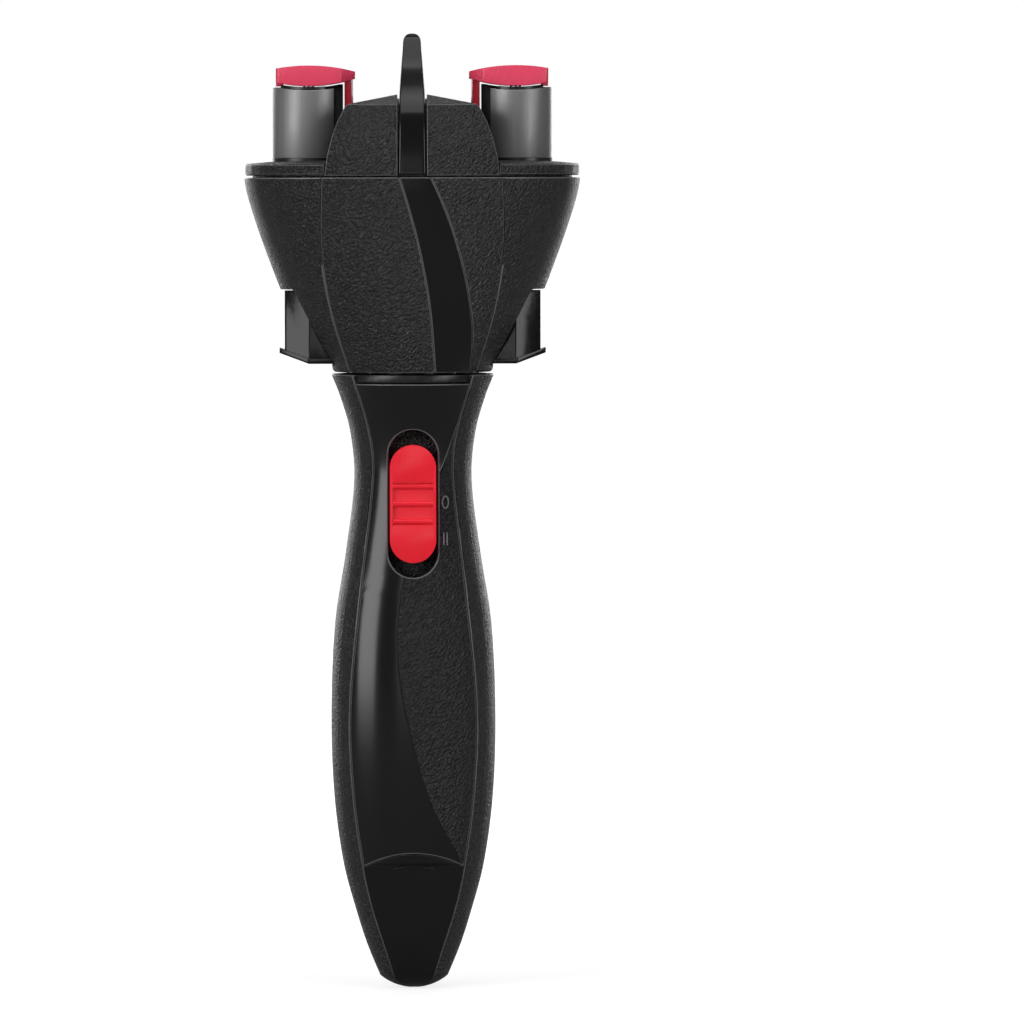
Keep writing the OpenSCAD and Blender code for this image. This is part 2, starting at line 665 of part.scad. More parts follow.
module head_front_panel() color([0.07, 0.07, 0.075]) {
    difference() {
        intersection() {
            tulip_shell();
            along_y(-big, 0) centre_outline(seam / 2);
        }
        difference() {
            along_y(-big, 0) swoosh_outline(-0.05);
            head_solid(swoosh_t);
        }
    }
}
module swoosh_trim() color([0.02, 0.02, 0.02]) {
    intersection() {
        difference() {
            head_solid(0);
            head_solid(swoosh_t);
        }
        along_y(-big, 0) swoosh_outline(0.05);
    }
}
module head_rear_panel() color([0.07, 0.07, 0.075]) {
    intersection() {
        tulip_shell();
        along_y(0, big) centre_outline(seam / 2);
    }
}
module side_shell(side) color([0.07, 0.07, 0.075]) {
    intersection() {
        tulip_shell();
        translate([side > 0 ? 0 : -big, -big / 2, 0]) cube([big, big, big + rim_z]);
        difference() {
            translate([-big, -big / 2, 0]) cube([2 * big, big, big + rim_z]);
            along_y(-big, big) centre_outline(-seam / 2);
        }
    }
}
module side_shell_left() side_shell(-1);
module side_shell_right() side_shell(1);

// ---------------------------------------------------------------- head frame

post_spots = [for (x = [-10, 10], y = [-20.4, 20.4]) [x, y]];
base_posts = [for (y = [-13.6, 13.6]) [0, y]];
post_d = 5.2;
head_screw_d = 2.16;
screw_hole_d = 2.2;
clip_z = collar_z - 0.8;
base_t = 2.6; // thickness of the head's floor
module head_base() color([0.1, 0.1, 0.1]) {
    difference() {
        union() {
            bore(base_d - 2 * head_t - 2 * seam, base_z, base_z + base_t);
            bore(2 * hub_r, clip_z, base_z + eps);
        }
        bore(shaft_d + 2 * run_gap, clip_z - 1, base_z + 4);
        translate([0, 0, collar_z - 0.7]) rotate_extrude() translate([hub_r - 1, 0]) square([3, 0.6]);
        for (p = base_posts) translate([p[0], p[1], 0]) bore(2.4, base_z - 1, base_z + 4);
    }
}
module head_clip() color([0.6, 0.6, 0.62]) {
    translate([0, 0, collar_z - 0.68]) difference() {
        cylinder(r = hub_r + 2, h = 0.56);
        translate([0, 0, -1]) cylinder(r = hub_r - 0.98, h = 3);
        translate([0, -hub_r * 0.5, -1]) cube([big, hub_r, 3]);
    }
}
module head_chassis() color([0.8, 0.8, 0.76]) {
    difference() {
        union() {
            body(head_table, head_t + seam, chassis_z, chassis_z + chassis_h, 2, round_in);
            for (s = [-1, 1]) translate([s * tube_x, 0, 0])
                bore(journal_d + 5, chassis_z, chassis_z + journal_h);
            bore(2 * shaft_d, chassis_z, chassis_z + journal_h);
            for (p = post_spots) translate([p[0], p[1], 0]) bore(post_d, chassis_z + 1, plate_z);
            for (p = base_posts) translate([p[0], p[1], 0]) bore(post_d, base_z + base_t, chassis_z + 1);
        }
        for (s = [-1, 1]) translate([s * tube_x, 0, 0])
            bore(journal_d + 2 * run_gap, chassis_z - 1, chassis_z + journal_h + 1);
        bore(shaft_d + 2 * run_gap, chassis_z - 1, chassis_z + journal_h + 1);
        for (p = post_spots) translate([p[0], p[1], 0]) bore(screw_hole_d, chassis_z - 1, plate_z + 1);
        for (p = base_posts) translate([p[0], p[1], 0]) bore(screw_hole_d, base_z + 2, base_z + 14);
    }
}
module head_screws() color([0.6, 0.6, 0.62]) {
    for (p = post_spots) translate([p[0], p[1], 0]) {
        bore(4.4, chassis_z - 1.6, chassis_z);
        bore(head_screw_d, chassis_z - eps, plate_z + 2);
    }
    for (p = base_posts) translate([p[0], p[1], 0]) bore(head_screw_d, base_z + 0.4, base_z + 10);
}
module rim_skin(inset, rows, n = round_out) { // rows of [height, inset]
    skin([for (r = rows) section(head_table, rim_z, inset + r[1], n, r[0])]);
}
module top_plate() color([0.08, 0.08, 0.085]) {
    difference() {
        union() {
            rim_skin(0.3, [[plate_z, 0.4], [plate_z + 0.4, 0], [plate_top - 0.4, 0],
                [plate_top, 0.4], [plate_top + crown * 0.6, 6], [plate_top + crown, 14]]);
            difference() { // spigot inside the rim
                rim_skin(head_t + seam + 0.1, [[rim_z - 1.6, 0.2], [plate_z + 0.2, 0]], round_in);
                rim_skin(head_t + 2, [[rim_z - 2, 0], [plate_z - 0.1, 0], [plate_z, 1]], round_in);
            }
        }
        for (s = [-1, 1]) translate([s * tube_x, 0, 0])
            bore(tube_d + 1, plate_z - 1, plate_top + 3);
        for (s = [-1, 1]) translate([-shield_w / 2 - seam, s > 0 ? rim_d / 2 - shield_foot : -big,
                plate_z]) // notches for the feet of the centre shield
            cube([shield_w + 2 * seam, big - rim_d / 2 + shield_foot, plate_h + 2]);
        bore(shaft_d + 1, plate_z - 1, plate_z + 1.6);
        for (p = post_spots) translate([p[0], p[1], 0]) bore(screw_hole_d, plate_z - 1, plate_z + 2.2);
    }
}

// ---------------------------------------------------------------- centre shield and divider

arm_reach = tube_d / 2 + 2.1; // radius that a hook's arm sweeps
scallop_r = arm_reach + 0.6;
shield_z = plate_z;
shield_front = rim_d / 2 - 0.4;
shield_foot = 6; // depth of the shield's feet from the rim inwards
// Right half of the shield from the front: [x, height over its foot]
function shield_face() = let (w = shield_w / 2, h = shield_h) [[w, 0], [w - 0.6, 0.24 * h],
    [w - 1.8, 0.47 * h], [w - 3.2, 0.66 * h], [w - 5, 0.83 * h], [w - 6, 0.87 * h], [3, h], [0, h]];
function shield_side(g) = let (f = shield_front - g, h = shield_h - g)
    [[f, -1], [f, 0], [f - 1.2, 0.4 * h], [f - 3.6, 0.8 * h], [f - 4.8, 0.86 * h], [0, h + 0.4]];
module shield_solid(g) {
    intersection() {
        translate([0, 0, shield_z]) along_y(-big, big)
            polygon([for (p = mirrored(shield_face())) [p[0] - sign(p[0]) * g, p[1] - g]]);
        translate([0, 0, shield_z]) along_x(-big, big) polygon(mirrored(shield_side(g)));
        rim_skin(0.3 + g, [[shield_z - 2, 0], [shield_z, 0], [shield_z + shield_h * 0.5, 1.6],
            [shield_z + shield_h + 2, 6]]);
    }
}
divider_core = 1.6; // how deep the divider is let into the shield
module shield_scallops(g) {
    for (s = [-1, 1]) translate([s * tube_x, 0, 0]) bore(2 * (scallop_r + g), plate_z - 2, big * 2);
}
module centre_shield() color([0.07, 0.07, 0.075]) {
    difference() {
        shield_solid(0);
        translate([0, 0, -eps]) difference() {
            shield_solid(head_t);
            shield_scallops(head_t);
            translate([-divider_w / 2, -big / 2, shield_z]) cube([divider_w, big, big]);
        }
        shield_scallops(0);
        difference() {
            translate([-divider_w / 2 - 0.05, -big / 2, shield_z - 2]) cube([divider_w + 0.1, big, big]);
            translate([0, 0, shield_z]) along_x(-big, big) polygon(mirrored(shield_side(divider_core)));
        }
        // clear of the plate's rib under the shield
        translate([-big / 2, -rim_d / 2 + shield_foot - seam, plate_z - 2])
            cube([big, rim_d - 2 * shield_foot + 2 * seam, plate_h + crown + 2 + seam]);
    }
}
module divider() color([0.02, 0.02, 0.02]) {
    tip_w = 4.4;
    tip_y = 6;
    h = divider_h;
    difference() {
        intersection() {
            translate([0, 0, shield_z]) along_y(-big, big) polygon(mirrored([[divider_w / 2, 0],
                [divider_w / 2 - 0.3, shield_h], [tip_w / 2, h - 1.6], [tip_w / 2 - 0.8, h - 0.4],
                [0.6, h]]));
            translate([0, 0, shield_z]) along_x(-big, big) polygon(mirrored([[shield_front + 0.2, 0],
                [shield_front - 1, 0.4 * shield_h], [shield_front - 4.4, 0.86 * shield_h],
                [shield_front - 9, shield_h + 1.2], [tip_y + 4, 0.78 * h], [tip_y, h - 1.4],
                [tip_y - 1.6, h - 0.3], [tip_y - 4, h]]));
        }
        translate([0, 0, shield_z - eps]) along_x(-big, big)
            polygon(mirrored(shield_side(divider_core - 0.05)));
    }
}

// ---------------------------------------------------------------- drive in the head

module drive_shaft() color([0.75, 0.76, 0.78]) {
    bore(shaft_d, gearbox_top - 5, gear_z + gear_h + 1.6);
}
module sun_gear() color([0.9, 0.88, 0.8]) {
    difference() {
        translate([0, 0, gear_z]) linear_extrude(gear_h) gear_outline(gear_module, sun_teeth, 0);
        bore(shaft_d + 0.02, gear_z - 1, gear_z + gear_h + 1);
        for (a = [30:60:330]) rotate(a) translate([sun_r * 0.58, 0, 0])
            bore(5, gear_z - 1, gear_z + gear_h + 1);
    }
}

// ---------------------------------------------------------------- spindles, drawn about their axis

journal_z = chassis_z - 0.5;
slot_half = 45; // half angle of the tube's open side
core_flat = 4.2; // distance from the axis to the floor of the strand channel there
guide_r = tube_d / 2 - 0.2; // radius of the wall behind the channel
guide_y = 2.2; // depth at which that wall starts
module open_side(half) {
    translate([0, 0, foot_ring_top - 1]) linear_extrude(big)
        polygon([[0, 0], big * [cos(half), -sin(half)], big * [cos(half), sin(half)]]);
}
module tube_saddle(z, reach) { // hollow across the top of a tube
    r = 38;
    translate([0, reach, z + r]) rotate([90, 0, 0]) cylinder(r = r, h = 2 * reach, $fn = 160);
}
module spindle_core(side) color([0.02, 0.02, 0.02]) at_side(side) {
    difference() {
        union() {
            bore(journal_d, journal_z, gear_z);
            bore(shoulder_d, chassis_z + journal_h + 0.4, plate_z);
            bore(tube_d + 0.4, plate_z - 1, foot_ring_top);
            bore(tube_d - 2 * tube_t - 0.04, foot_ring_top - eps, tube_top + 1);
            intersection() {
                bore(2 * guide_r, foot_ring_top - eps, tube_top + 1);
                open_side(slot_half - 1);
            }
        }
        translate([core_flat, -big, foot_ring_top]) cube([big, big + guide_y, big]);
        bore(stem_d + 2 * run_gap, journal_z - 1, tube_top + 2);
        tube_saddle(cap_z - 0.3, tube_d);
        translate([-10, -3.2, tube_top + 0.2]) cube([3.8, 6.4, 3]); // room for the hook's lip
    }
}
module spindle_core_left() spindle_core(-1);
module spindle_core_right() spindle_core(1);
module spindle_gear(side) color([0.9, 0.88, 0.8]) at_side(side) {
    difference() {
        translate([0, 0, gear_z]) linear_extrude(gear_h)
            gear_outline(gear_module, spindle_teeth, 180 / spindle_teeth);
        bore(shoulder_d + 0.02, gear_z - 1, gear_z + gear_h + 1);
    }
}
module spindle_gear_left() spindle_gear(-1);
module spindle_gear_right() spindle_gear(1);
module strand_tube(side) color([0.28, 0.28, 0.29]) at_side(side) {
    difference() {
        bore(tube_d, foot_ring_top, tube_top + 0.2);
        bore(tube_d - 2 * tube_t, foot_ring_top - 1, tube_top + 1);
        open_side(slot_half);
        tube_saddle(tube_top - 0.66, tube_d);
    }
}
module strand_tube_left() strand_tube(-1);
module strand_tube_right() strand_tube(1);

foot_z = pusher_top + 0.2;
foot_h = 1.5;
module hook_stem(side) color([0.75, 0.76, 0.78]) at_side(side) {
    bore(9, foot_z, foot_z + foot_h);
    bore(stem_d, foot_z + foot_h - eps, cap_z + cap_h * 0.6);
}
module hook_stem_left() hook_stem(-1);
module hook_stem_right() hook_stem(1);
module hook_spring(side) color([0.8, 0.8, 0.82]) at_side(side) {
    skin(coil(stem_d / 2 + 1.4, spring_wire, 4.5, foot_z + foot_h + 0.02, journal_z - 0.02, 16, 6));
}
module hook_spring_left() hook_spring(-1);
module hook_spring_right() hook_spring(1);

cap_out = tube_d / 2 - 0.9;
cap_in = arm_reach + 0.5;
arm_w = 6.4;
module hook(side) color([0.8, 0.03, 0.08]) at_side(side) {
    top_r = 46;
    y = 7;
    plan = rounded([[-cap_out, -y], [cap_in - 3.6, -y], [cap_in, -y + 3.4], [cap_in, y - 3.4],
        [cap_in - 3.6, y], [-cap_out, y]], 1);
    difference() {
        intersection() {
            translate([0, 0, cap_z - 2]) linear_extrude(cap_h + 3) polygon(plan);
            translate([0, 2 * y, cap_z + cap_h - top_r]) rotate([90, 0, 0])
                cylinder(r = top_r, h = 4 * y, $fn = 160);
            tube_saddle(cap_z, 2 * y);
        }
        bore(stem_d + 0.02, cap_z - 1, cap_z + cap_h * 0.6 + 0.02);
    }
    difference() {
        intersection() { // arm down the open side of the tube
            translate([arm_reach - 2.2, -arm_w / 2, foot_ring_top + 0.8])
                cube([3, arm_w, cap_z - foot_ring_top + 1.4]);
            bore(2 * arm_reach, 0, big * 2);
        }
        bore(2 * (guide_r + slide_gap), 0, tube_top + 0.6);
    }
    translate([-cap_out, -3, tube_top + 0.45]) cube([1.8, 6, cap_z - tube_top + 1.2]);
}
module hook_left() hook(-1);
module hook_right() hook(1);

// ---------------------------------------------------------------- pushers

finger_rise = 2.7; // how far the flange's outer edge is turned up
finger_out = pusher_out + 1.3;
module pusher(side) color([0.03, 0.03, 0.03]) mirror([side < 0 ? 1 : 0, 0, 0]) {
    y = pusher_w / 2;
    turn = finger_rise / (finger_out - bend_x);
    body_plan = rounded(pusher_plan(y, pusher_in, pusher_out), 1);
    wide_plan = rounded(pusher_plan(flange_w / 2, pusher_in, finger_out, 3.7), 1);
    inner_plan = pusher_plan(y - 1.5, pusher_in - 2, pusher_out - 1.5, 2.5);
    intersection() {
        difference() {
            translate([0, 0, pusher_z]) linear_extrude(pusher_top - pusher_z) polygon(body_plan);
            translate([0, 0, pusher_z]) linear_extrude(pusher_top - pusher_z - 2) polygon(inner_plan);
        }
        along_y(-big, big) polygon([[0, pusher_z], [bend_x, pusher_z],
            [bend_x + 10, pusher_z + 10 * turn], [bend_x + 10, big + pusher_z], [0, big + pusher_z]]);
    }
    intersection() {
        translate([0, 0, pusher_z]) linear_extrude(finger_rise + 3) polygon(wide_plan);
        along_y(-big, big) polygon([[0, pusher_z], [bend_x, pusher_z],
            [bend_x + 10, pusher_z + 10 * turn], [bend_x + 10, pusher_z + 10 * turn + finger_t],
            [bend_x, pusher_z + finger_t], [0, pusher_z + finger_t]]);
    }
}
module pusher_left() pusher(-1);
module pusher_right() pusher(1);

rear_shell();
front_panel();
tail_panel();
collar_ring();
switch_floor();
switch_slider();
slide_switch();
circuit_board();
motor();
motor_pinion();
gearbox();
motor_bracket();
battery_left();
battery_right();
battery_tray();
battery_contacts();
contact_springs();
battery_leads();
battery_cover();
handle_screws();
head_base();
head_clip();
head_chassis();
head_front_panel();
head_rear_panel();
side_shell_left();
side_shell_right();
swoosh_trim();
top_plate();
centre_shield();
divider();
head_screws();
drive_shaft();
sun_gear();
spindle_core_left();
spindle_core_right();
spindle_gear_left();
spindle_gear_right();
strand_tube_left();
strand_tube_right();
hook_spring_left();
hook_spring_right();
hook_left();
hook_right();
hook_stem_left();
hook_stem_right();
pusher_left();
pusher_right();
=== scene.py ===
import json
import math

import bmesh
import bpy
from mathutils import Matrix, Vector


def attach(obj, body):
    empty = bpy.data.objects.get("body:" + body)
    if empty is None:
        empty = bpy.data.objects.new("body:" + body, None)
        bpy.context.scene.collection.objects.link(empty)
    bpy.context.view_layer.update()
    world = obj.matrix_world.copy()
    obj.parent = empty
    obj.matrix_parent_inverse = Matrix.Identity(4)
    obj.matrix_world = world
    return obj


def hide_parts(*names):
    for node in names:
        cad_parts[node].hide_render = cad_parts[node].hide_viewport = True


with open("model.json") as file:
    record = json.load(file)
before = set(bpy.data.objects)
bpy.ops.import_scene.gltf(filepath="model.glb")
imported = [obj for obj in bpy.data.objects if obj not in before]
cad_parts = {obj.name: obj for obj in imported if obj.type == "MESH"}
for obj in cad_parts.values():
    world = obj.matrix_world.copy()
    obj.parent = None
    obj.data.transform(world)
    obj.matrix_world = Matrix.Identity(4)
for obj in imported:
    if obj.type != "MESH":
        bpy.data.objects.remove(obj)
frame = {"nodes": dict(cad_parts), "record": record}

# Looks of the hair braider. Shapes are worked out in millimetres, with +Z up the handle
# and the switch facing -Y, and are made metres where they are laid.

MM = 0.001
HALF_TURN = math.pi
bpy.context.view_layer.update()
BODY_OF = {node: body for body, nodes in frame["record"]["behaviour"]["bodies"].items()
           for node in nodes}


# ---------------------------------------------------------------- smooth curves

def mix(a, b, share):
    return a + (b - a) * share


def steps(start, end, count):
    return [mix(start, end, i / count) for i in range(count + 1)]


def curve(rows, at, column=1):
    """Smooth value of one column of a table of rows, read at a value of its first column."""
    last = len(rows) - 1
    i = 0
    while i < last - 1 and at >= rows[i + 1][0]:
        i += 1

    def slope(k):
        low, high = rows[max(k - 1, 0)], rows[min(k + 1, last)]
        return (high[column] - low[column]) / (high[0] - low[0])

    span = rows[i + 1][0] - rows[i][0]
    u = (at - rows[i][0]) / span
    p, q = rows[i][column], rows[i + 1][column]
    m, n = slope(i) * span, slope(i + 1) * span
    return (p * (2 * u**3 - 3 * u**2 + 1) + m * (u**3 - 2 * u**2 + u)
            + q * (3 * u**2 - 2 * u**3) + n * (u**3 - u**2))


def spread(shape, low, high, start, end):
    """Stations between two sections (width, depth), as heights, half sizes and squareness."""
    return [[mix(low, high, h), mix(start[0], end[0], s) / 2, mix(start[1], end[1], s) / 2, e]
            for h, s, e in shape]


class Skin:
    """Outside of the handle or the head: a stack of rounded sections."""

    def __init__(self, rows, end_arcs=None):
        self.rows = rows
        self.end_arcs = end_arcs    # radii that round the tail, seen from the front and the side

    def size(self, z):
        a, b, e = (curve(self.rows, z, c) for c in (1, 2, 3))
        if self.end_arcs:
            limits = [math.sqrt(max(0.0, r * r - (r - z) ** 2)) if z < r else a + b
                      for r in self.end_arcs]
            a, b = min(a, limits[0]), min(b, limits[1])
        return a, b, e

    def point(self, turn, z):
        a, b, e = self.size(z)
        c, s = math.cos(turn), math.sin(turn)
        return (a * math.copysign(abs(c) ** (2 / e), c), b * math.copysign(abs(s) ** (2 / e), s), z)

    def turn(self, x, z):
        """Angle from +X at which the skin is x wide."""
        a, _, e = self.size(z)
        return math.acos(min(1.0, x / max(a, 1e-6)) ** (e / 2))

    def depth(self, x, z):
        a, b, e = self.size(z)
        return b * max(0.0, 1 - min(1.0, abs(x) / max(a, 1e-6)) ** e) ** (1 / e)


# ---------------------------------------------------------------- sizes of the handle

HANDLE_LEN, BELLY_Z, NECK_Z = 155, 71, 128.9
# Width and depth at four heights
TAIL, BELLY, NECK, FLANGE = (14.4, 12.4), (41.4, 36), (29.6, 29.4), (41, 41)
# Stations from one of them to the next: [share of height, share of size, squareness]
TAIL_TO_BELLY = [[0, 0, 2.2], [0.15, 0.33, 2.3], [0.28, 0.55, 2.4], [0.45, 0.785, 2.5],
                 [0.7, 0.955, 2.5]]
BELLY_TO_NECK = [[0, 0, 2.5], [0.371, 0.169, 2.45], [0.686, 0.644, 2.3]]
NECK_TO_FLANGE = [[0, 0, 2.1], [0.464, 0.193, 2.05], [0.808, 0.649, 2], [1, 1, 2]]
TAIL_ARCS = (13.2, 9.91)
handle = Skin(spread(TAIL_TO_BELLY, 0, BELLY_Z, TAIL, BELLY)
              + spread(BELLY_TO_NECK, BELLY_Z, NECK_Z, BELLY, NECK)
              + spread(NECK_TO_FLANGE, NECK_Z, HANDLE_LEN, NECK, FLANGE), TAIL_ARCS)

# Half width of the front and tail panels: [height, half width]
PANEL_EDGE = [[-2, 3.6], [8.52, 6.6], [19.88, 10.2], [30.53, 12.6], [49.7, 15.2], [71, 16],
              [99.95, 13.4], [128.9, 10.2], [139.34, 10.8], [155, 15.2]]
TAIL_ROUND, TAIL_SHARE = 4, 0.63    # below this height the panel keeps to a share of the width
SEAM = 0.15
PANEL_TOP = 152.8
FACET_Z, FACET_SAG = 34.79, 3.9
facet_half = curve(PANEL_EDGE, FACET_Z)
FACET_R = (facet_half**2 + FACET_SAG**2) / (2 * FACET_SAG)
SLOT_Z, SLOT_W, SLOT_LEN = 122.8, 12.6, 36.9
BAY_LOW, BAY_HIGH, BAY_HALF, BAY_ROUND = 34.4, 91.7, 14, 4
BAY_Z = (BAY_LOW + BAY_HIGH) / 2
COVER_FLAT = 17.5
SHELL_WALL = 1.4


def panel_half(z, gap=0.0):
    """Half width of the front and tail panels at height z."""
    half = curve(PANEL_EDGE, z)
    if z < TAIL_ROUND:
        half = min(half, TAIL_SHARE * handle.size(z)[0])
    return half - gap


def arc_height(share, gap):
    """Height of the arc between the front and the tail panel, a share of the way across."""
    z = FACET_Z
    for _ in range(12):
        x = panel_half(z) * share
        z = FACET_Z - FACET_R + math.sqrt((FACET_R + gap) ** 2 - x * x)
    return z


# ---------------------------------------------------------------- sheets

JOIN, CAD_JOIN = 0.004, 0.002      # points closer than this are one, in built and in CAD meshes
EDGE_ROUNDS = 3                    # segments of a rounded edge
PANEL_TURN, CAD_TURN = 35, 30      # edges that turn by more degrees than this are rounded


def lay(bm, us, vs, place):
    """Adds a sheet of quads, and puts each crossing of us and vs where place(u, v) says, in mm."""
    across, up = len(us) - 1, len(vs) - 1
    for v in bmesh.ops.create_grid(bm, x_segments=across, y_segments=up, size=1)["verts"]:
        u = us[round((v.co.x + 1) / 2 * across)]
        w = vs[round((v.co.y + 1) / 2 * up)]
        v.co = Vector(place(u, w)) * MM


def round_block(us, vs, where):
    """Points [x, z] round a block of columns and rows, in the order of round_opening."""
    return ([where(u, vs[0]) for u in us[:-1]] + [where(us[-1], v) for v in vs[:-1]]
            + [where(u, vs[-1]) for u in us[:0:-1]] + [where(us[0], v) for v in vs[:0:-1]])


def round_opening(us, vs, width, height, radius, middle_z):
    """Points round an opening with rounded corners, one for each point of round_block."""
    points = []
    for side in range(4):
        along, out = (width, height)[side % 2] / 2 - radius, (height, width)[side % 2] / 2 - radius
        arc = radius * HALF_TURN / 4
        count = (len(us), len(vs))[side % 2] - 1
        for i in range(count):
            d = i / count * 2 * (along + arc)
            if d < arc:
                angle = d / radius - HALF_TURN / 4
                p, q = radius * math.sin(angle) - along, out + radius * math.cos(angle)
            elif d < arc + 2 * along:
                p, q = d - arc - along, out + radius
            else:
                angle = (d - arc - 2 * along) / radius
                p, q = along + radius * math.sin(angle), out + radius * math.cos(angle)
            c, s = (1, 0, -1, 0)[side], (0, 1, 0, -1)[side]
            points.append((p * c + q * s, middle_z + p * s - q * c))
    return points


def ring(bm, outer, inner, shares, depth):
    """Sheet between the outer and the inner points, on the skin whose y is depth(x, z)."""
    if (outer[1][0] - outer[0][0]) * (inner[1][0] - inner[0][0]) < 0:
        inner = [(-x, z) for x, z in inner]
    n = len(outer)

    def place(k, share):
        x, z = (mix(a, b, share) for a, b in zip(inner[k % n], outer[k % n]))
        return x, depth(x, z), z
    lay(bm, list(range(n + 1)), shares, place)


def point_out(bm):
    """Points the faces of a closed mesh outwards."""
    bmesh.ops.recalc_face_normals(bm, faces=bm.faces)
    if bm.calc_volume(signed=True) < 0:
        bmesh.ops.reverse_faces(bm, faces=bm.faces)


def face_out(bm, from_axis=True):
    """Merges what meets and points the faces away from the handle's axis."""
    bmesh.ops.remove_doubles(bm, verts=bm.verts, dist=JOIN * MM)
    bmesh.ops.recalc_face_normals(bm, faces=bm.faces)
    if from_axis:
        lean = sum(f.calc_area() * (f.normal.x * f.calc_center_median().x
                                    + f.normal.y * f.calc_center_median().y) for f in bm.faces)
        if lean < 0:
            bmesh.ops.reverse_faces(bm, faces=bm.faces)


def solid_of(bm, wall, low=-1, high=1000):
    """Gives a sheet its wall inwards, and holds it between two heights."""
    face_out(bm)
    bmesh.ops.solidify(bm, geom=bm.faces[:], thickness=wall * MM)
    for v in bm.verts:
        v.co.z = min(max(v.co.z, low * MM), high * MM)
    point_out(bm)


def round_edges(bm, edge, angle=50):
    """Rounds the sharp edges of a closed mesh before it is carved, in the edge's own paler finish, a
    painted highlight line.
    """
    sharp = [e for e in bm.edges
             if len(e.link_faces) == 2 and e.calc_face_angle() > math.radians(angle)]
    bmesh.ops.bevel(bm, geom=sharp, offset=edge * MM, offset_type="OFFSET", affect="EDGES",
                    segments=EDGE_ROUNDS, profile=0.5, material=1, clamp_overlap=False)


def carve(bm, cutter):
    """Cuts the cutter out of a closed mesh."""
    scene = bpy.context.scene
    parts = []
    for shape in (bm, cutter):
        mesh = bpy.data.meshes.new("cut")
        shape.to_mesh(mesh)
        shape.free()
        parts.append(bpy.data.objects.new("cut", mesh))
        scene.collection.objects.link(parts[-1])
    cut = parts[0].modifiers.new("cut", "BOOLEAN")
    cut.operation, cut.solver, cut.object = "DIFFERENCE", "EXACT", parts[1]
    cut.use_self = True
    bpy.context.view_layer.update()
    result = bmesh.new()
    result.from_mesh(parts[0].evaluated_get(bpy.context.evaluated_depsgraph_get()).to_mesh())
    for part in parts:
        bpy.data.objects.remove(part)
    return result


def soften(piece, edge, angle, held=True):
    """Rounds the edges that turn by more than angle, in the edge's own paler finish if there is one,
    a painted highlight line.
    """
    bevel = piece.modifiers.new("rounded edges", "BEVEL")
    bevel.material = 1 if len(piece.data.materials) > 1 else -1
    bevel.width = edge * MM
    bevel.segments = EDGE_ROUNDS
    bevel.limit_method = "ANGLE"
    bevel.angle_limit = math.radians(angle)
    bevel.harden_normals = True
    bevel.use_clamp_overlap = held
    bevel.miter_outer = "MITER_ARC"


def finish(name, bm, finish_of, body, replaces=()):
    """Makes the mesh a piece of the product that rides on a body."""
    mesh = bpy.data.meshes.new(name)
    bm.to_mesh(mesh)
    bm.free()
    mesh.validate()
    for face in mesh.polygons:
        face.use_smooth = True
    piece = bpy.data.objects.new(name, mesh)
    bpy.context.scene.collection.objects.link(piece)
    # The second slot is the paler edge finish, which paints highlight lines.
    for look in (finish_of, finish_of.edge):
        if look:
            mesh.materials.append(look.material)
    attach(piece, body)
    if replaces:
        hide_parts(*replaces)
    return piece


def panel(bm, finish_of, node, wall, edge, low=-1, high=1000):
    """A moulded panel: its sheet gets a wall inwards and rounded edges."""
    solid_of(bm, wall, low, high)
    piece = finish(node + "_moulded", bm, finish_of, BODY_OF[node], [node])
    soften(piece, edge, PANEL_TURN, held=node == "tail_panel")
    return piece


def cad_copy(node):
    """A mesh to work on of a CAD node, with the points that meet made one."""
    bm = bmesh.new()
    bm.from_mesh(frame["nodes"][node].data)
    bmesh.ops.remove_doubles(bm, verts=bm.verts, dist=CAD_JOIN * MM)
    return bm


def refined(node, finish_of, edge):
    """A CAD piece of the right shape, merged and given rounded edges."""
    bm = cad_copy(node)
    bmesh.ops.dissolve_limit(bm, angle_limit=math.radians(0.6), verts=bm.verts, edges=bm.edges)
    face_out(bm, from_axis=False)
    piece = finish(node + "_moulded", bm, finish_of, BODY_OF[node], [node])
    soften(piece, edge, CAD_TURN)
    return piece


# ---------------------------------------------------------------- finishes

class Signal:
    """A number that changes over a surface. Its sums and products become Math nodes."""

    def __init__(self, look, socket):
        self.look, self.socket = look, socket

    def math(self, operation, *parts):
        return self.look.node("ShaderNodeMath", {"operation": operation}, dict(enumerate(parts)))

    def __add__(self, other):
        return self.math("ADD", self, other)

    def __sub__(self, other):
        return self.math("SUBTRACT", self, other)

    def __rsub__(self, other):
        return self.math("SUBTRACT", other, self)

    def __mul__(self, other):
        return self.math("MULTIPLY", self, other)

    def __truediv__(self, other):
        return self.math("DIVIDE", self, other)

    __radd__ = __add__

    def size(self):
        return self.math("ABSOLUTE", self)

    def limit(self):
        """Held between 0 and 1."""
        return self.look.node("ShaderNodeClamp", {}, {"Value": self})


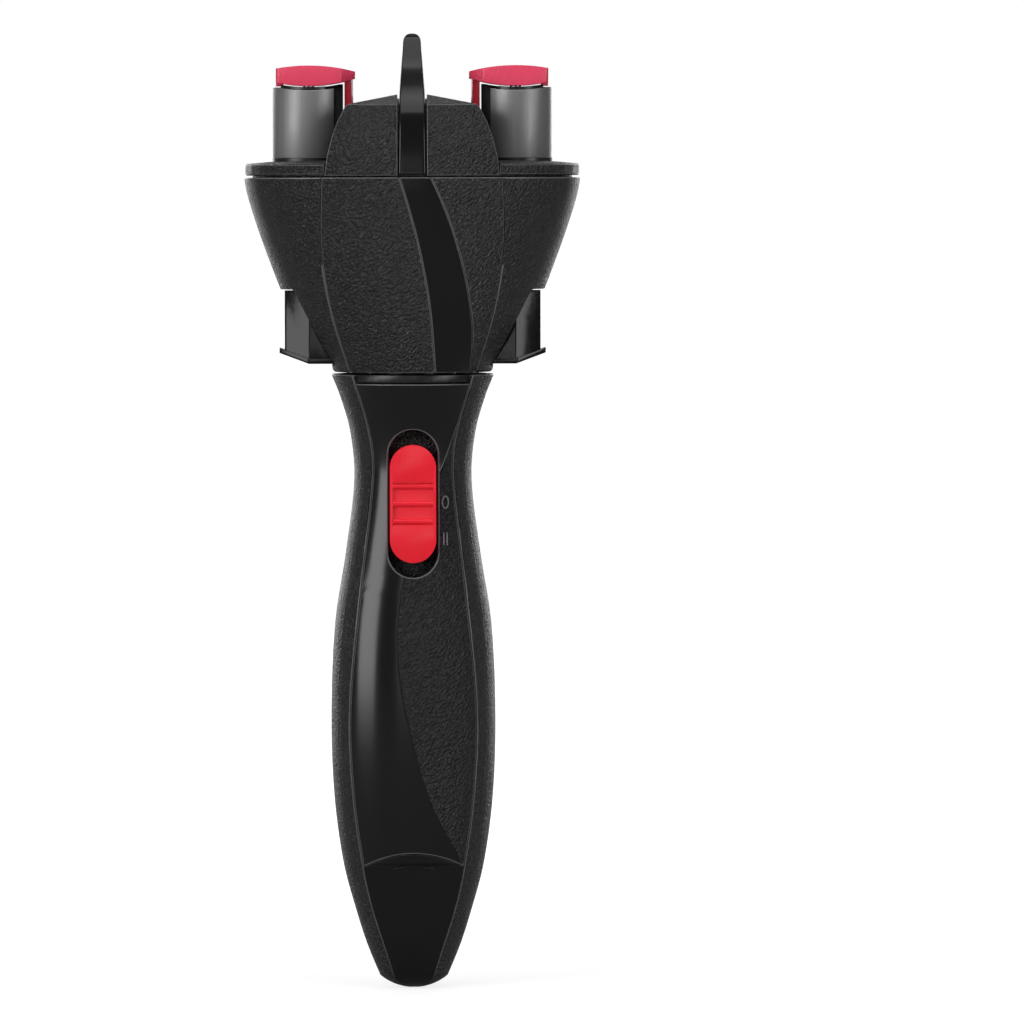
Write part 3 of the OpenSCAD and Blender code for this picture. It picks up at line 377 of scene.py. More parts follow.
class Finish:
    """A material, with the values that are the same all over set on its shader."""

    def __init__(self, name, slot, **fixed):
        # edge: a paler finish for rounded edges, which paints highlight lines on them.
        self.slot, self.edge = slot, None
        self.material = bpy.data.materials.new(name)
        self.material.use_nodes = True
        self.tree = self.material.node_tree
        self.shader = self.tree.nodes["Principled BSDF"]
        for key, value in fixed.items():
            label = key.replace("_", " ").title().replace("Ior", "IOR")
            self.shader.inputs[label].default_value = value

    def node(self, kind, settings=None, inlets=None, outlet=0):
        """Adds a node: its settings first, then the values or links of its sockets."""
        node = self.tree.nodes.new(kind)
        for key, value in (settings or {}).items():
            if key == "points":
                line = node.mapping.curves[0]
                for i, point in enumerate(value):
                    if i < 2:
                        line.points[i].location = point
                    else:
                        line.points.new(*point)
                node.mapping.update()
            else:
                setattr(node, key, value)
        for key, value in (inlets or {}).items():
            if isinstance(value, Signal):
                self.tree.links.new(value.socket, node.inputs[key])
            else:
                node.inputs[key].default_value = value
        return Signal(self, node.outputs[outlet])

    def feed(self, **signals):
        """Links signals to the shader's sockets of those names."""
        for key, signal in signals.items():
            self.tree.links.new(signal.socket, self.shader.inputs[key.replace("_", " ")])
        return self

    def place(self):
        return self.node("ShaderNodeTexCoord", outlet="Object")

    def axis(self, letter):
        return self.node("ShaderNodeSeparateXYZ", {}, {"Vector": self.place()}, letter)

    def cloud(self, size, detail=2.0, rough=0.5, twist=0.0, long=1.0, tilt=0.0):
        """Soft noise with patches about size mm across, drawn out along a slant."""
        sized = self.node("ShaderNodeMapping", {"vector_type": "TEXTURE"}, {
            "Vector": self.place(), "Rotation": (0.0, tilt, 0.0),
            "Scale": (size * MM, size * MM, size * long * MM)})
        return self.node("ShaderNodeTexNoise", {}, {
            "Vector": sized, "Scale": 1.0, "Detail": detail, "Roughness": rough,
            "Distortion": twist})

    def shade(self, share, dark, light):
        """Colour between dark and light."""
        return self.node("ShaderNodeMix", {"data_type": "RGBA"},
                         {"Factor": share, 6: (*dark, 1), 7: (*light, 1)}, 2)

    def relief(self, height):
        """Surface raised by height, in mm."""
        return self.node("ShaderNodeBump", {}, {"Height": height * MM, "Distance": 1.0,
                                                "Strength": 1.0})

    def grain(self):
        """Leather-like moulded grain, as a height in mm."""
        return self.cloud(0.5, 1.0, 0.5, 0.3, long=1.8, tilt=0.75) * 1.3


def grained_black():
    """Black plastic with a moulded grain."""
    look = Finish("grained_black", "grained_black", ior=1.5, specular_ior_level=0.45)
    wear = look.cloud(14.0, 3.0)
    return look.feed(Base_Color=look.shade(wear, (0.006,) * 3, (0.01, 0.01, 0.0104)),
                     Roughness=look.cloud(0.5, 1.0) * 0.14 + 0.33,
                     Normal=look.relief(look.grain()))


def gloss_black():
    """Polished black plastic, very slightly wavy."""
    look = Finish("gloss_black", "gloss_black", ior=1.5, specular_ior_level=0.3)
    haze = look.cloud(9.0, 3.0, 0.6)
    return look.feed(Base_Color=look.shade(haze, (0.0025,) * 3, (0.004, 0.004, 0.0045)),
                     Roughness=haze * 0.05 + 0.14,
                     Normal=look.relief(look.cloud(6.0, 1.0) * 0.006))


def plain_finish(name, slot, colour, rough, metallic=0.0, grain_mm=1.2, relief_mm=0.01, level=0.5):
    """One colour with a little change of tone, roughness and height."""
    look = Finish(name, slot, metallic=metallic, specular_ior_level=level)
    tone = look.cloud(grain_mm * 8, 3.0)
    fine = look.cloud(grain_mm, 2.0)
    darker = tuple(c * 0.82 for c in colour)
    return look.feed(Base_Color=look.shade(tone, darker, colour),
                     Roughness=fine * 0.12 + (rough - 0.06),
                     Normal=look.relief(fine * relief_mm))


# Line on the front panel between its gloss and its grained side: [x, z]
SWEEP = [(11.1, 142.5), (7.63, 132.3), (6.14, 128.8), (-1.81, 105.5), (-3.75, 93.8), (-3.92, 86.9),
         (-3.06, 77.2), (-0.62, 65.0), (3.55, 49.9), (9.12, 37.9), (11.2, 33.7)]
SWEEP_TOP, SWEEP_REACH = 160.0, 40.0    # the curve's height, and the width that its 0 to 1 spans
BLEND, LIP = 0.25, 0.5                  # width of the change of finish, and half the lip's width
STEP_WIDE, STEP_HIGH = 0.7, 0.12        # small step up to the grained side


def front_panel_finish():
    """Gloss on the left of the sweep and grain on its right."""
    look = Finish("front_panel_two_finishes", "gloss_black", ior=1.5, specular_ior_level=0.35)
    points = [(z / SWEEP_TOP, x / SWEEP_REACH + 0.5) for x, z in reversed(SWEEP)]
    points = [(0.0, points[0][1] + 0.1)] + points + [(1.0, 0.95)]
    line = look.node("ShaderNodeFloatCurve", {"points": [points[0], points[-1]] + points[1:-1]},
                     {"Value": look.axis("Z") / (SWEEP_TOP * MM)})
    beyond = look.axis("X") / MM - (line - 0.5) * SWEEP_REACH
    grain_share = (beyond / BLEND + 0.5).limit()
    lip = 1 - (beyond.size() / LIP).limit()
    haze = look.cloud(9.0, 3.0, 0.6)
    height = look.grain() * grain_share + (beyond / STEP_WIDE + 0.5).limit() * STEP_HIGH
    return look.feed(
        Base_Color=look.shade(grain_share, (0.003,) * 3, (0.007, 0.007, 0.0073)),
        Roughness=grain_share * 0.24 + haze * 0.04 + 0.16 + lip * 0.1,
        Normal=look.relief(height))


grained = grained_black()
gloss = gloss_black()
two_finish = front_panel_finish()
dark_insert = plain_finish("dark_insert", "dark_insert", (0.008, 0.008, 0.0085), 0.34, level=0.35)
pusher_black = plain_finish("pusher_black", "gloss_black", (0.005, 0.005, 0.0055), 0.14, level=0.2)
tube_grey = plain_finish("satin_grey", "tube_grey", (0.2, 0.2, 0.204), 0.45, 0.5, 3.0, 0.003)
red = plain_finish("bright_red", "red", (0.88, 0.006, 0.024), 0.3)
hook_red = plain_finish("hook_red", "red", (0.55, 0.008, 0.03), 0.36)
# Paler, pinker red for the caps' front and rear faces beside the darker hook_red: a painted sheen.
hook_face = plain_finish("hook_face", "red", (0.8, 0.05, 0.12), 0.42, 0.0, 0.5, 0.12)
mark_grey = plain_finish("mark_grey", "gloss_black", (0.16, 0.16, 0.165), 0.4)
# Paler copies of the finishes for the rounded edges: painted highlight lines along the edges and
# seams.
for look in (grained, gloss, two_finish, pusher_black):
    look.edge = plain_finish("black_edge", look.slot, (0.11, 0.11, 0.115), 0.32)
tube_grey.edge = plain_finish("tube_edge", "tube_grey", (0.3, 0.3, 0.3), 0.4, 0.5)
red.edge = plain_finish("red_edge", "red", (0.88, 0.1, 0.13), 0.3)
hook_red.edge = plain_finish("hook_edge", "red", (0.75, 0.06, 0.12), 0.35)
# Finishes of the CAD meshes, by the record's material slots
INNER = {
    "natural_plastic": plain_finish("natural_nylon", "natural_plastic", (0.66, 0.64, 0.56), 0.45),
    "circuit_board": plain_finish("green_board", "circuit_board", (0.02, 0.14, 0.05), 0.4),
    "steel": plain_finish("bright_steel", "steel", (0.6, 0.6, 0.62), 0.25, 1.0),
    "nickel": plain_finish("nickel_plate", "nickel", (0.62, 0.6, 0.56), 0.2, 1.0),
    "lead_sleeve": plain_finish("lead_sleeve", "lead_sleeve", (0.3, 0.01, 0.012), 0.4),
    "cell_jacket": plain_finish("cell_jacket", "cell_jacket", (0.16, 0.17, 0.19), 0.3),
    "dark_insert": dark_insert, "grained_black": grained, "gloss_black": gloss,
    "tube_grey": tube_grey, "red": red}


# ---------------------------------------------------------------- handle

BAY_TURN = math.radians(32)
WELLS = [(0, 17), (-9.6, 97.5), (9.6, 97.5)]    # screw wells: [x, z]
WELL_R, WELL_DEEP = 2.6, 3.2
# Section of a well's lining: [radius, share of the way from under the seat to the skin]
CUP = [(2.5, 1), (2.5, 0), (1.5, 0), (3.3, 0), (3.3, 0.7)]
CUP_FLOOR, CUP_SUNK = 0.8, 0.15
RECESS_LONG, RECESS_WIDE, RECESS_DEEP = 2.6, 0.6, 1.6    # one bar of a screw's cross
MARK_X, MARK_Z, MARK_R = 8.1, 123.1, 0.22                # the ring's middle, and the marks' line
RING_X, RING_Z = 0.75, 1.5
BAR_X, BAR_DOWN, BAR_HALF = 0.42, 9.2, 1.7
LYING = Matrix.Rotation(HALF_TURN / 2, 4, "X")
BLOCK_LOW, BLOCK_HIGH = 30.4, 95.7
RING_SHARES = [0, 0.12, 0.3, 0.5, 0.75, 1]


def rear_turn(u, z):
    """Angle of column u: the sides are 0 to 1 and 2 to 3, and the bay's block lies between."""
    front = -handle.turn(panel_half(z), z)
    if u < 1:
        return mix(front, BAY_TURN, u)
    if u <= 2:
        return mix(BAY_TURN, HALF_TURN - BAY_TURN, u - 1)
    return mix(HALF_TURN - BAY_TURN, HALF_TURN - front, u - 2)


def rear_shell():
    """The handle's shell, with the battery bay's opening and the three screw wells."""
    bm = bmesh.new()

    def place(u, z):
        return handle.point(rear_turn(u, z), z)
    side = [0, 0.012, 0.03] + steps(0.08, 1, 12)
    middle = steps(1, 2, 20)
    other = [3 - u for u in reversed(side)]
    arc = TAIL_ARCS[1]
    end = [arc - math.sqrt(arc**2 - r * r) for r in (0, 1.2, 2.4, 3.6, 4.6, 5.6, 6.4)]
    low = end + [2.6, 3.2, 4.2] + steps(6, BLOCK_LOW, 9)
    block = steps(BLOCK_LOW, BLOCK_HIGH, 24)
    high = steps(BLOCK_HIGH, 153, 24) + [154.4, HANDLE_LEN]
    for rows in (low, high):
        lay(bm, side + middle[1:] + other[1:], rows, place)
    lay(bm, side, block, place)
    lay(bm, other, block, place)

    def where(u, z):
        x, _, z = place(u, z)
        return x, z
    opening = round_opening(middle, block, 2 * BAY_HALF, BAY_HIGH - BAY_LOW, BAY_ROUND, BAY_Z)
    ring(bm, round_block(middle, block, where), opening, RING_SHARES, handle.depth)
    solid_of(bm, SHELL_WALL, 0, HANDLE_LEN)
    round_edges(bm, 0.3)
    for x, z in WELLS:
        cutter = bmesh.new()
        middle_of = Matrix.Translation(Vector((x, handle.depth(x, z) + 6, z)) * MM)
        bmesh.ops.create_cone(cutter, cap_ends=True, segments=40, radius1=WELL_R * MM,
                              radius2=WELL_R * MM, depth=20 * MM, matrix=middle_of @ LYING)
        bm = carve(bm, cutter)
    return finish("rear_shell_moulded", bm, grained, BODY_OF["rear_shell"], ["rear_shell"])


def screw_cups():
    """Linings of the three screw wells, from the skin down to the screws' seats."""
    bm = bmesh.new()
    for x, z in WELLS:
        seat = handle.size(z)[1] - WELL_DEEP

        def place(turn, k):
            r, level = CUP[k % len(CUP)]
            px, pz = x + r * math.cos(turn), z + r * math.sin(turn)
            if level:
                return px, mix(seat - CUP_FLOOR, handle.depth(px, pz) - CUP_SUNK, level), pz
            return px, seat - CUP_FLOOR * (r > WELL_R), pz
        lay(bm, steps(0, 2 * HALF_TURN, 40), range(len(CUP) + 1), place)
    face_out(bm, from_axis=False)
    return finish("screw_cups", bm, grained, BODY_OF["rear_shell"])


def handle_screws():
    """The CAD screws with crossed recesses in their heads."""
    bm = cad_copy("handle_screws")
    cutter = bmesh.new()
    for x, z in WELLS:
        top = max(v.co.y for v in bm.verts
                  if math.hypot(v.co.x - x * MM, v.co.z - z * MM) < WELL_R * MM)
        for wide, tall in ((RECESS_LONG, RECESS_WIDE), (RECESS_WIDE, RECESS_LONG)):
            bmesh.ops.create_cube(cutter, size=1, matrix=Matrix.Translation((x * MM, top, z * MM))
                                  @ Matrix.Diagonal((wide * MM, RECESS_DEEP * MM, tall * MM, 1)))
    return finish("handle_screws_cut", carve(bm, cutter), INNER["steel"], BODY_OF["handle_screws"],
                  ["handle_screws"])


def switch_marks():
    """Generic marks beside the slider: a ring for its middle stop and two bars for the lower one."""
    bm = bmesh.new()

    def raised(x, z, turn, r):
        return x, -handle.depth(x, z) - r * math.sin(turn), z
    around = steps(0, 2 * HALF_TURN, 10)

    def oval(u, turn):
        wide, tall = RING_X + MARK_R * math.cos(turn), RING_Z + MARK_R * math.cos(turn)
        return raised(MARK_X + wide * math.cos(u), MARK_Z + tall * math.sin(u), turn, MARK_R)
    lay(bm, steps(0, 2 * HALF_TURN, 36), around, oval)
    for x in (MARK_X - BAR_X, MARK_X + BAR_X):
        def bar(z, turn):
            r = MARK_R * math.sqrt(max(0.0, 1 - abs(z) ** 8))
            return raised(x + r * math.cos(turn), MARK_Z - BAR_DOWN + BAR_HALF * z, turn, r)
        lay(bm, [-1, -0.99, -0.96, -0.9] + steps(-0.8, 0.8, 4) + [0.9, 0.96, 0.99, 1], around, bar)
    face_out(bm, from_axis=False)
    return finish("switch_marks", bm, mark_grey, BODY_OF["front_panel"])


def front_panel():
    """The front panel: a block of rows round the slot, and rows under and over it."""
    bm = bmesh.new()
    low, high = 100.3, 145.3
    across = [-1, -0.965, -0.9] + steps(-0.8, 0.8, 16) + [0.9, 0.965, 1]

    def under(share, row):
        foot = arc_height(share, SEAM)
        z = mix(foot, low, row)
        x = panel_half(z, SEAM) * share
        return x, -handle.depth(x, z), z

    def over(share, z):
        x = panel_half(z, SEAM) * share
        return x, -handle.depth(x, z), z
    block = steps(low, high, 30)
    lay(bm, across, [0, 0.008, 0.02] + steps(0.05, 1, 28), under)
    lay(bm, across, steps(high, PANEL_TOP - 1, 5) + [PANEL_TOP - 0.4, PANEL_TOP], over)
    outer = round_block(across, block, lambda share, z: (over(share, z)[0], z))
    inner = round_opening(across, block, SLOT_W, SLOT_LEN, SLOT_W / 2, SLOT_Z)
    ring(bm, outer, inner, RING_SHARES, lambda x, z: -handle.depth(x, z))
    return panel(bm, two_finish, "front_panel", SHELL_WALL, 0.35, 0, PANEL_TOP)


def tail_panel():
    """The flat facet at the tail, under the front panel's arc."""
    bm = bmesh.new()

    def facet(z):
        """Depth of the flat facet, flush with the shells at its edges."""
        rise = z - FACET_Z + FACET_R
        x = min(panel_half(z), math.sqrt(max(0.0, FACET_R**2 - rise * rise)))
        return -handle.depth(x, z)

    def place(share, row):
        z = mix(0.0, arc_height(share, 0), row)
        return panel_half(z, SEAM * min(1, z / 2)) * share, facet(z), z
    across = [-1, -0.97, -0.9] + steps(-0.8, 0.8, 16) + [0.9, 0.97, 1]
    rows = ([0, 0.004, 0.014, 0.03, 0.05, 0.07] + steps(0.1, 0.84, 24) + steps(0.86, 0.98, 8)
            + [0.992, 1])
    lay(bm, across, rows, place)
    return panel(bm, gloss, "tail_panel", SHELL_WALL, 0.3, 0)


def battery_cover():
    """The cover of the bay: the handle's skin, with a flat along its middle."""
    bm = bmesh.new()
    height = BAY_HIGH - BAY_LOW - 2 * SEAM
    us, vs = steps(-1, 1, 16), steps(-1, 1, 28)
    half_x, half_z = 9.5, height / 2 - 4.5

    def surface(x, z):
        return min(handle.depth(x, z), COVER_FLAT)

    def where(u, v):
        return u * half_x, BAY_Z + v * half_z

    def place(u, v):
        x, z = where(u, v)
        return x, surface(x, z), z
    lay(bm, us, vs, place)
    outer = round_opening(us, vs, 2 * (BAY_HALF - SEAM), height, BAY_ROUND - SEAM, BAY_Z)
    ring(bm, outer, round_block(us, vs, where), [0, 0.3, 0.6, 0.85, 1], surface)
    return panel(bm, grained, "battery_cover", SHELL_WALL, 0.3)


# ---------------------------------------------------------------- head

BASE_Z, RIM_Z, HEAD_WALL = 155.6, 204.4, 1.5
BASE, RIM = (39.4, 39.4), (84.6, 56)    # width and depth
BASE_TO_RIM = [[0, 0, 2], [0.09, 0.17, 2.05], [0.193, 0.34, 2.1], [0.295, 0.469, 2.15],
               [0.424, 0.597, 2.2], [0.59, 0.735, 2.25], [0.756, 0.863, 2.3],
               [0.92, 0.969, 2.35], [1, 1, 2.35]]
head = Skin(spread(BASE_TO_RIM, BASE_Z, RIM_Z, BASE, RIM))

# Edges of the centre panels and of the swoosh: [share of the head's height, x]
CENTRE_EDGE = [[-0.05, 14.9], [0.08, 17], [0.28, 19.9], [0.5, 22], [0.7, 22.9], [1.05, 22.6]]
SWOOSH_LEFT = [[-0.05, 5.8], [0.32, 4.4], [0.59, 2.2], [0.825, -0.65], [1.05, -4]]
SWOOSH_RIGHT = [[-0.05, 14.2], [0.2, 15], [0.4, 14], [0.61, 11.8], [0.825, 8.4], [1.05, 3.6]]
SWOOSH_DEPTH, SWOOSH_FIT = 0.7, 0.05
HEAD_ROWS = ([BASE_Z, BASE_Z + 0.5] + steps(BASE_Z + 1.5, RIM_Z - 1.5, 40)
             + [RIM_Z - 0.5, RIM_Z])


def head_share(z):
    return (z - BASE_Z) / (RIM_Z - BASE_Z)


def centre_half(z, gap):
    return curve(CENTRE_EDGE, head_share(z)) - gap


def swoosh_edge(z, right, gap):
    rows = SWOOSH_RIGHT if right else SWOOSH_LEFT
    return curve(rows, head_share(z)) + (-gap if right else gap)


def head_front_panel():
    """The centre panel at the front, sunk where the swoosh lies."""
    bm = bmesh.new()

    def place(column, z):
        span, share = column
        half = centre_half(z, SEAM / 2)
        edges = [-half, swoosh_edge(z, False, -SWOOSH_FIT), swoosh_edge(z, True, -SWOOSH_FIT), half]
        x = mix(edges[int(span)], edges[int(span) + 1], share)
        sunk = SWOOSH_DEPTH if span == 1 else 0
        return x, sunk - head.depth(x, z), z
    left = [0, 0.02, 0.06] + steps(0.14, 1, 12)
    right = [1 - share for share in reversed(left)]
    columns = [(0, s) for s in left] + [(1, s) for s in steps(0, 1, 12)] + [(2, s) for s in right]
    lay(bm, columns, HEAD_ROWS, place)
    return panel(bm, grained, "head_front_panel", HEAD_WALL, 0.22, BASE_Z, RIM_Z)


def swoosh_trim():
    """The glossy strip in the front panel's sunk band."""
    bm = bmesh.new()

    def place(share, z):
        x = mix(swoosh_edge(z, False, SWOOSH_FIT), swoosh_edge(z, True, SWOOSH_FIT), share)
        return x, -head.depth(x, z), z
    lay(bm, [0, 0.04] + steps(0.1, 0.9, 12) + [0.96, 1], HEAD_ROWS, place)
    return panel(bm, gloss, "swoosh_trim", SWOOSH_DEPTH - 0.02, 0.22, BASE_Z, RIM_Z)


def head_rear_panel():
    """The centre panel at the rear."""
    bm = bmesh.new()

    def place(share, z):
        x = centre_half(z, SEAM / 2) * share
        return x, head.depth(x, z), z
    across = [-1, -0.98, -0.94] + steps(-0.86, 0.86, 24) + [0.94, 0.98, 1]
    lay(bm, across, HEAD_ROWS, place)
    return panel(bm, grained, "head_rear_panel", HEAD_WALL, 0.3, BASE_Z, RIM_Z)


# The divider's sections: [height over its foot, half width, half depth]
DIVIDER = [[0, 3.65, 27.8], [8.2, 3.53, 26.6], [14, 3.44, 25.1], [17.6, 3.36, 23.2],
           [21.7, 3.2, 18.6], [27.8, 2.72, 10.6], [31.5, 2.4, 7.8], [34, 2.2, 6], [34.9, 1.75, 5],
           [35.4, 1.1, 3.6], [35.6, 0.4, 2]]
DIVIDER_FOOT, DIVIDER_HIGH = 204.95, 35.6
DIVIDER_ROUND = 0.1    # power of sine and cosine: the less, the squarer the sections

def divider():
    """The blade between the strands: rounded sections that narrow towards its tip."""
    bm = bmesh.new()

    def place(turn, height):
        if height < 0:
            return 0, 0, DIVIDER_FOOT
        if height > DIVIDER_HIGH:
            return 0, 0, DIVIDER_FOOT + DIVIDER_HIGH
        wide, deep = (curve(DIVIDER, height, c) for c in (1, 2))
        c, s = math.cos(turn), math.sin(turn)
        return (wide * math.copysign(abs(c) ** DIVIDER_ROUND, c),
                deep * math.copysign(abs(s) ** DIVIDER_ROUND, s), DIVIDER_FOOT + height)
    nooks = [0, 1e-9, 1e-6, 1e-4, 0.002, 0.016, 0.06, 0.14, 0.26, 0.42, 0.6, 0.75]
    quarter = nooks + [HALF_TURN / 2 - turn for turn in reversed(nooks)]
    around = [corner * HALF_TURN / 2 + turn for corner in range(4) for turn in quarter[:-1]]
    rows = steps(0, 33.5, 44) + steps(33.6, DIVIDER_HIGH, 16)
    lay(bm, around + [2 * HALF_TURN], [-1] + rows + [DIVIDER_HIGH + 1], place)
    face_out(bm, from_axis=False)
    return finish("divider_blade", bm, gloss, BODY_OF["divider"], ["divider"])


# Front view of the cut under each pod: [height, x]
POD_FLOOR, POD_X = 176.4, 30.1
POD_CUT = [(BASE_Z, 20.3), (157.8, 20.3), (175.4, 29.4), (POD_FLOOR, POD_X)]
SEAM_HIGHLIGHT, RIM_HIGHLIGHT = 0.16, 0.3    # widths of the painted highlight lines along the seams and the rim
# Holes for the pusher and its flange: outline [x, y], and the heights they run between
PUSHER_HOLE = [(18.3, -7.3), (26.07, -7.3), (32.5, -4.1), (32.5, 4.1), (26.07, 7.3), (18.3, 7.3)]
FLANGE_HOLE = [(18.3, -8.6), (32.3, -8.6), (32.3, 8.6), (18.3, 8.6)]
HOLES = [(PUSHER_HOLE, 157.7, 187), (FLANGE_HOLE, 157.4, 166.6)]


def cut_x(z):
    """Distance of the cut from the middle at height z."""
    for (low, x0), (high, x1) in zip(POD_CUT, POD_CUT[1:]):
        if z <= high:
            return min(mix(x0, x1, (z - low) / (high - low)), head.size(z)[0])
    return POD_X


def prism(bm, outline, low, high, side):
    """Adds an upright prism on an outline [x, y]."""
    base = bm.faces.new([bm.verts.new(Vector((side * x, y, low)) * MM) for x, y in outline])
    top = bmesh.ops.extrude_face_region(bm, geom=[base])["geom"]
    bmesh.ops.translate(bm, vec=(0, 0, (high - low) * MM),
                        verts=[v for v in top if isinstance(v, bmesh.types.BMVert)])
    point_out(bm)


def side_shell(side, node):
    """One pod: its outer wall, the two wings beside the centre panels, and the walls of the cut."""
    bm = bmesh.new()
    cut_turn = head.turn(POD_X, POD_FLOOR)

    def turned(turn, z):
        x, y, z = head.point(turn, z)
        return side * x, y, z

    def seam_turn(z):
        return head.turn(centre_half(z, -SEAM / 2), z)

    def upper(u, row):
        z = mix(POD_FLOOR, RIM_Z, row)
        edge = seam_turn(z)
        span = min(int(u), 2)
        ends = [(-edge, -cut_turn), (-cut_turn, cut_turn), (cut_turn, edge)][span]
        return turned(mix(*ends, u - span), z)
    wing = [0, 0.025, 0.1] + steps(0.25, 1, 8)
    around = wing + [1 + s for s in steps(0, 1, 32)[1:]] + [3 - s for s in reversed(wing)][1:]
    lay(bm, around, steps(0, 0.97, 26) + [0.99, 1], upper)
    rows = [BASE_Z, BASE_Z + 0.5] + steps(157.8, 175.4, 18) + [175.9, POD_FLOOR]
    for face in (-1, 1):
        lay(bm, wing, rows, lambda u, z: turned(
            face * mix(seam_turn(z), head.turn(cut_x(z), z), u), z))

    def wall(u, z):
        return side * cut_x(z), u * head.depth(cut_x(z), z), z
    lay(bm, steps(-1, 1, 32), rows, wall)

    def floor(u, share):
        x, y, z = head.point(mix(-cut_turn, cut_turn, u), POD_FLOOR)
        return side * mix(x, POD_X, share), mix(y, head.depth(POD_X, z) * (2 * u - 1), share), z
    lay(bm, steps(0, 1, 32), steps(0, 1, 5), floor)
    bmesh.ops.remove_doubles(bm, verts=bm.verts, dist=JOIN * MM)
    # Faces along the seams and the rim take the pale edge finish: painted highlight lines.
    for face_at in bm.faces:
        x, _, z = face_at.calc_center_median() / MM
        if abs(x) < centre_half(z, -SEAM / 2) + SEAM_HIGHLIGHT or z > RIM_Z - RIM_HIGHLIGHT:
            face_at.material_index = 1
    solid_of(bm, HEAD_WALL, BASE_Z, RIM_Z)
    for outline, low, high in HOLES:
        cutter = bmesh.new()
        prism(cutter, outline, low, high, side)
        bm = carve(bm, cutter)
    return finish(node + "_moulded", bm, grained, BODY_OF[node], [node])


# ---------------------------------------------------------------- studio

CAMERA_AT, CAMERA_DOWN, CAMERA_ROLL = (0, -2.0, 0.205), 2.42, 0.13    # metres and degrees
LENS, SHIFT_X, SHIFT_Y = 279.11, 0.0974, -0.0014
# Softboxes: name, azimuth from the camera's side with the right positive, height, distance,
# width, height of the light itself, watts. Lengths are in metres.
SOFTBOXES = [("left_softbox", -50, 0.3, 1.5, 0.8, 1.3, 20),
             ("right_softbox", 46, 0.3, 1.6, 0.5, 1.3, 13),
             ("front_light", -4, 0.3, 2.4, 0.4, 1.0, 3),
             ("top_light", 0, 1.4, 0.3, 1.2, 1.2, 9),
             ("rear_left", -158, 0.5, 1.5, 0.6, 1.2, 8),
             ("rear_right", 158, 0.5, 1.5, 0.6, 1.2, 8)]
LIGHTS_AIM = Vector((0, 0, 0.12))
ROOM, GLOSS_ROOM = 0.11, 0.08          # level of the room's light, and what is added in reflections
FLOOR_GLOW, FLOOR_FADE = 0.79, 0.3     # the camera sees the floor glow, and more so far off
FADE_FROM, FADE_OVER = 0.1, 0.5        # metres from the part where that rise begins, and its width


def camera_and_lights():
    scene = bpy.context.scene
    scene.view_settings.view_transform = "Standard"
    lens = bpy.data.cameras.new("camera")
    camera = bpy.data.objects.new("camera", lens)
    scene.collection.objects.link(camera)
    scene.camera = camera
    camera.location = CAMERA_AT
    camera.rotation_euler = (math.radians(90 - CAMERA_DOWN), math.radians(CAMERA_ROLL), 0)
    lens.sensor_width = 36
    lens.lens = LENS
    lens.shift_x, lens.shift_y = SHIFT_X, SHIFT_Y
    for name, azimuth, height, distance, width, tall, power in SOFTBOXES:
        light = bpy.data.lights.new(name, "AREA")
        light.shape = "RECTANGLE"
        light.size, light.size_y = width, tall
        light.energy = power
        lamp = bpy.data.objects.new(name, light)
        scene.collection.objects.link(lamp)
        angle = math.radians(azimuth)
        lamp.location = (distance * math.sin(angle), -distance * math.cos(angle), height)
        aim = LIGHTS_AIM - lamp.location
        lamp.rotation_euler = aim.to_track_quat("-Z", "Y").to_euler()


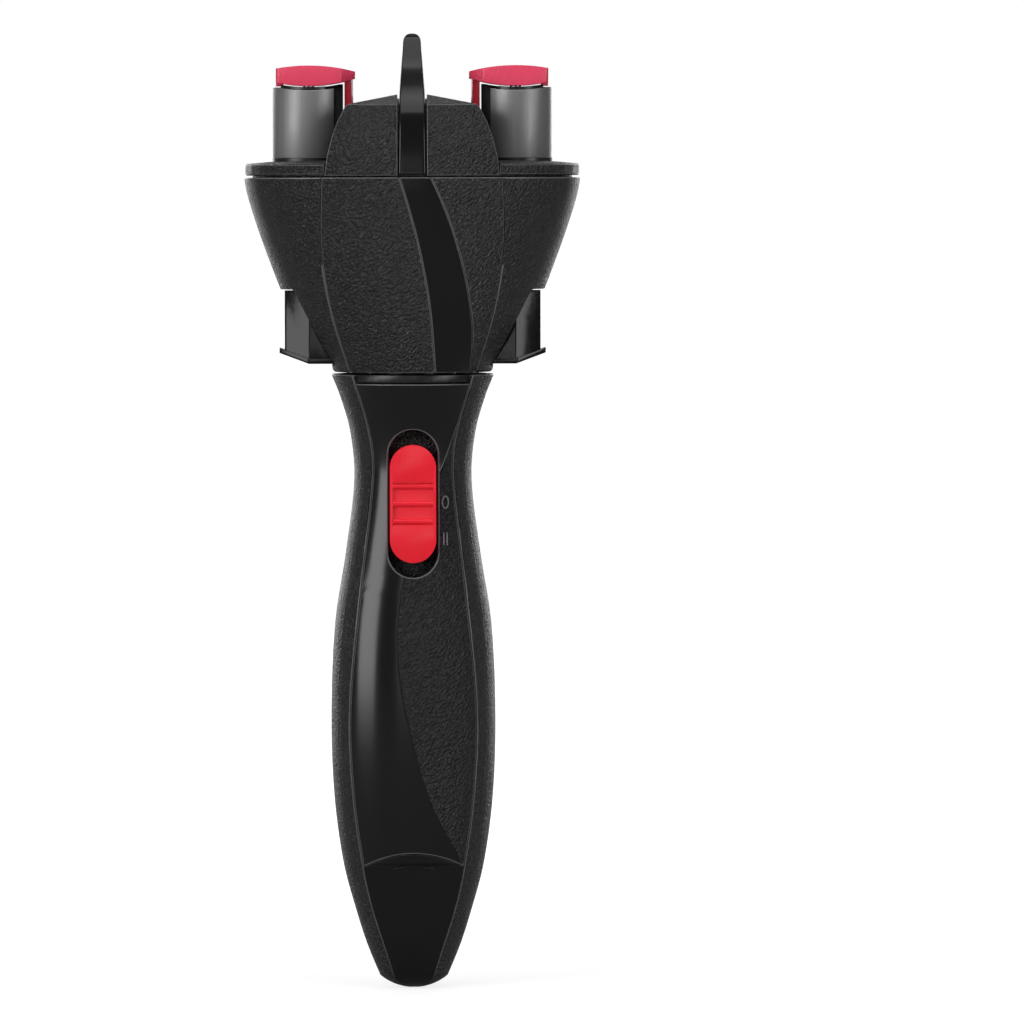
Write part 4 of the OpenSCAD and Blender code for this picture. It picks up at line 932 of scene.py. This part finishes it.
def room_and_floor():
    """A room that is white for the camera and dim for everything else, and a pale floor."""
    scene = bpy.context.scene
    world = bpy.data.worlds.new("studio")
    scene.world = world
    world.use_nodes = True
    nodes, links = world.node_tree.nodes, world.node_tree.links
    room = nodes["Background"]
    room.inputs["Color"].default_value = (1, 1, 1, 1)
    path = nodes.new("ShaderNodeLightPath")
    level = None
    for ray, share in (("Is Camera Ray", 1 - ROOM), ("Is Glossy Ray", GLOSS_ROOM),
                       ("Is Transmission Ray", 1 - ROOM)):
        seen = nodes.new("ShaderNodeMath")
        seen.operation = "MULTIPLY_ADD"
        links.new(path.outputs[ray], seen.inputs[0])
        seen.inputs[1].default_value = share
        seen.inputs[2].default_value = ROOM
        if level:
            links.new(level, seen.inputs[2])
        level = seen.outputs[0]
    links.new(level, room.inputs["Strength"])

    bm = bmesh.new()
    bmesh.ops.create_grid(bm, x_segments=2, y_segments=2, size=40)
    mesh = bpy.data.meshes.new("floor")
    bm.to_mesh(mesh)
    bm.free()
    floor = bpy.data.objects.new("floor", mesh)
    scene.collection.objects.link(floor)
    pale = Finish("pale_floor", None, roughness=0.9, specular_ior_level=0.0,
                  base_color=(0.3, 0.3, 0.3, 1))
    far = pale.node("ShaderNodeVectorMath", {"operation": "LENGTH"}, {0: pale.place()}, "Value")
    camera_ray = pale.node("ShaderNodeLightPath", outlet="Is Camera Ray")
    other_ray = (pale.node("ShaderNodeLightPath", outlet="Is Glossy Ray") * GLOSS_ROOM
                 + pale.node("ShaderNodeLightPath", outlet="Is Transmission Ray"))
    fade = ((far - FADE_FROM) / FADE_OVER).limit() * FLOOR_FADE
    glow = camera_ray * (FLOOR_GLOW + fade) + other_ray
    pale.feed(Emission_Color=pale.shade(glow, (0, 0, 0), (1, 1, 1)))
    pale.shader.inputs["Emission Strength"].default_value = 1
    mesh.materials.append(pale.material)


# ---------------------------------------------------------------- all pieces

# CAD pieces that only need rounded edges: node, finish, edge
SINGLES = [("collar_ring", dark_insert, 0.2), ("switch_floor", grained, 0.1),
           ("switch_slider", red, 0.45), ("top_plate", grained, 0.35),
           ("centre_shield", grained, 0.4)]
PAIRS = [("strand_tube", tube_grey, 0.25), ("spindle_core", dark_insert, 0.2),
         ("hook", hook_red, 0.35), ("pusher", pusher_black, 0.35)]
CAP_LOW = 227.0    # lowest point of the hooks' caps


def paint_cap_sheen(hook):
    """Gives the front and rear faces of a hook's cap a paler, pinker red than the rest: a painted
    sheen.
    """
    hook.data.materials.append(hook_face.material)
    for face in hook.data.polygons:
        # Cap faces towards front or rear take the painted sheen.
        front = abs(face.normal.y) > 0.6 and face.center.z > CAP_LOW * MM
        face.material_index = 2 if front else 0


camera_and_lights()
room_and_floor()
rear_shell()
front_panel()
tail_panel()
battery_cover()
head_front_panel()
head_rear_panel()
swoosh_trim()
side_shell(-1, "side_shell_left")
side_shell(1, "side_shell_right")
for node, look, edge in SINGLES:
    refined(node, look, edge)
divider()
for end in ("_left", "_right"):
    for node, look, edge in PAIRS:
        piece = refined(node + end, look, edge)
        if node == "hook":
            paint_cap_sheen(piece)
screw_cups()
handle_screws()
switch_marks()

SLOT_OF = {row["node"]: row["material_slot"] for row in frame["record"]["subparts"]}
for node, part in frame["nodes"].items():
    for holder in part.material_slots:
        holder.material = INNER[SLOT_OF[node]].material
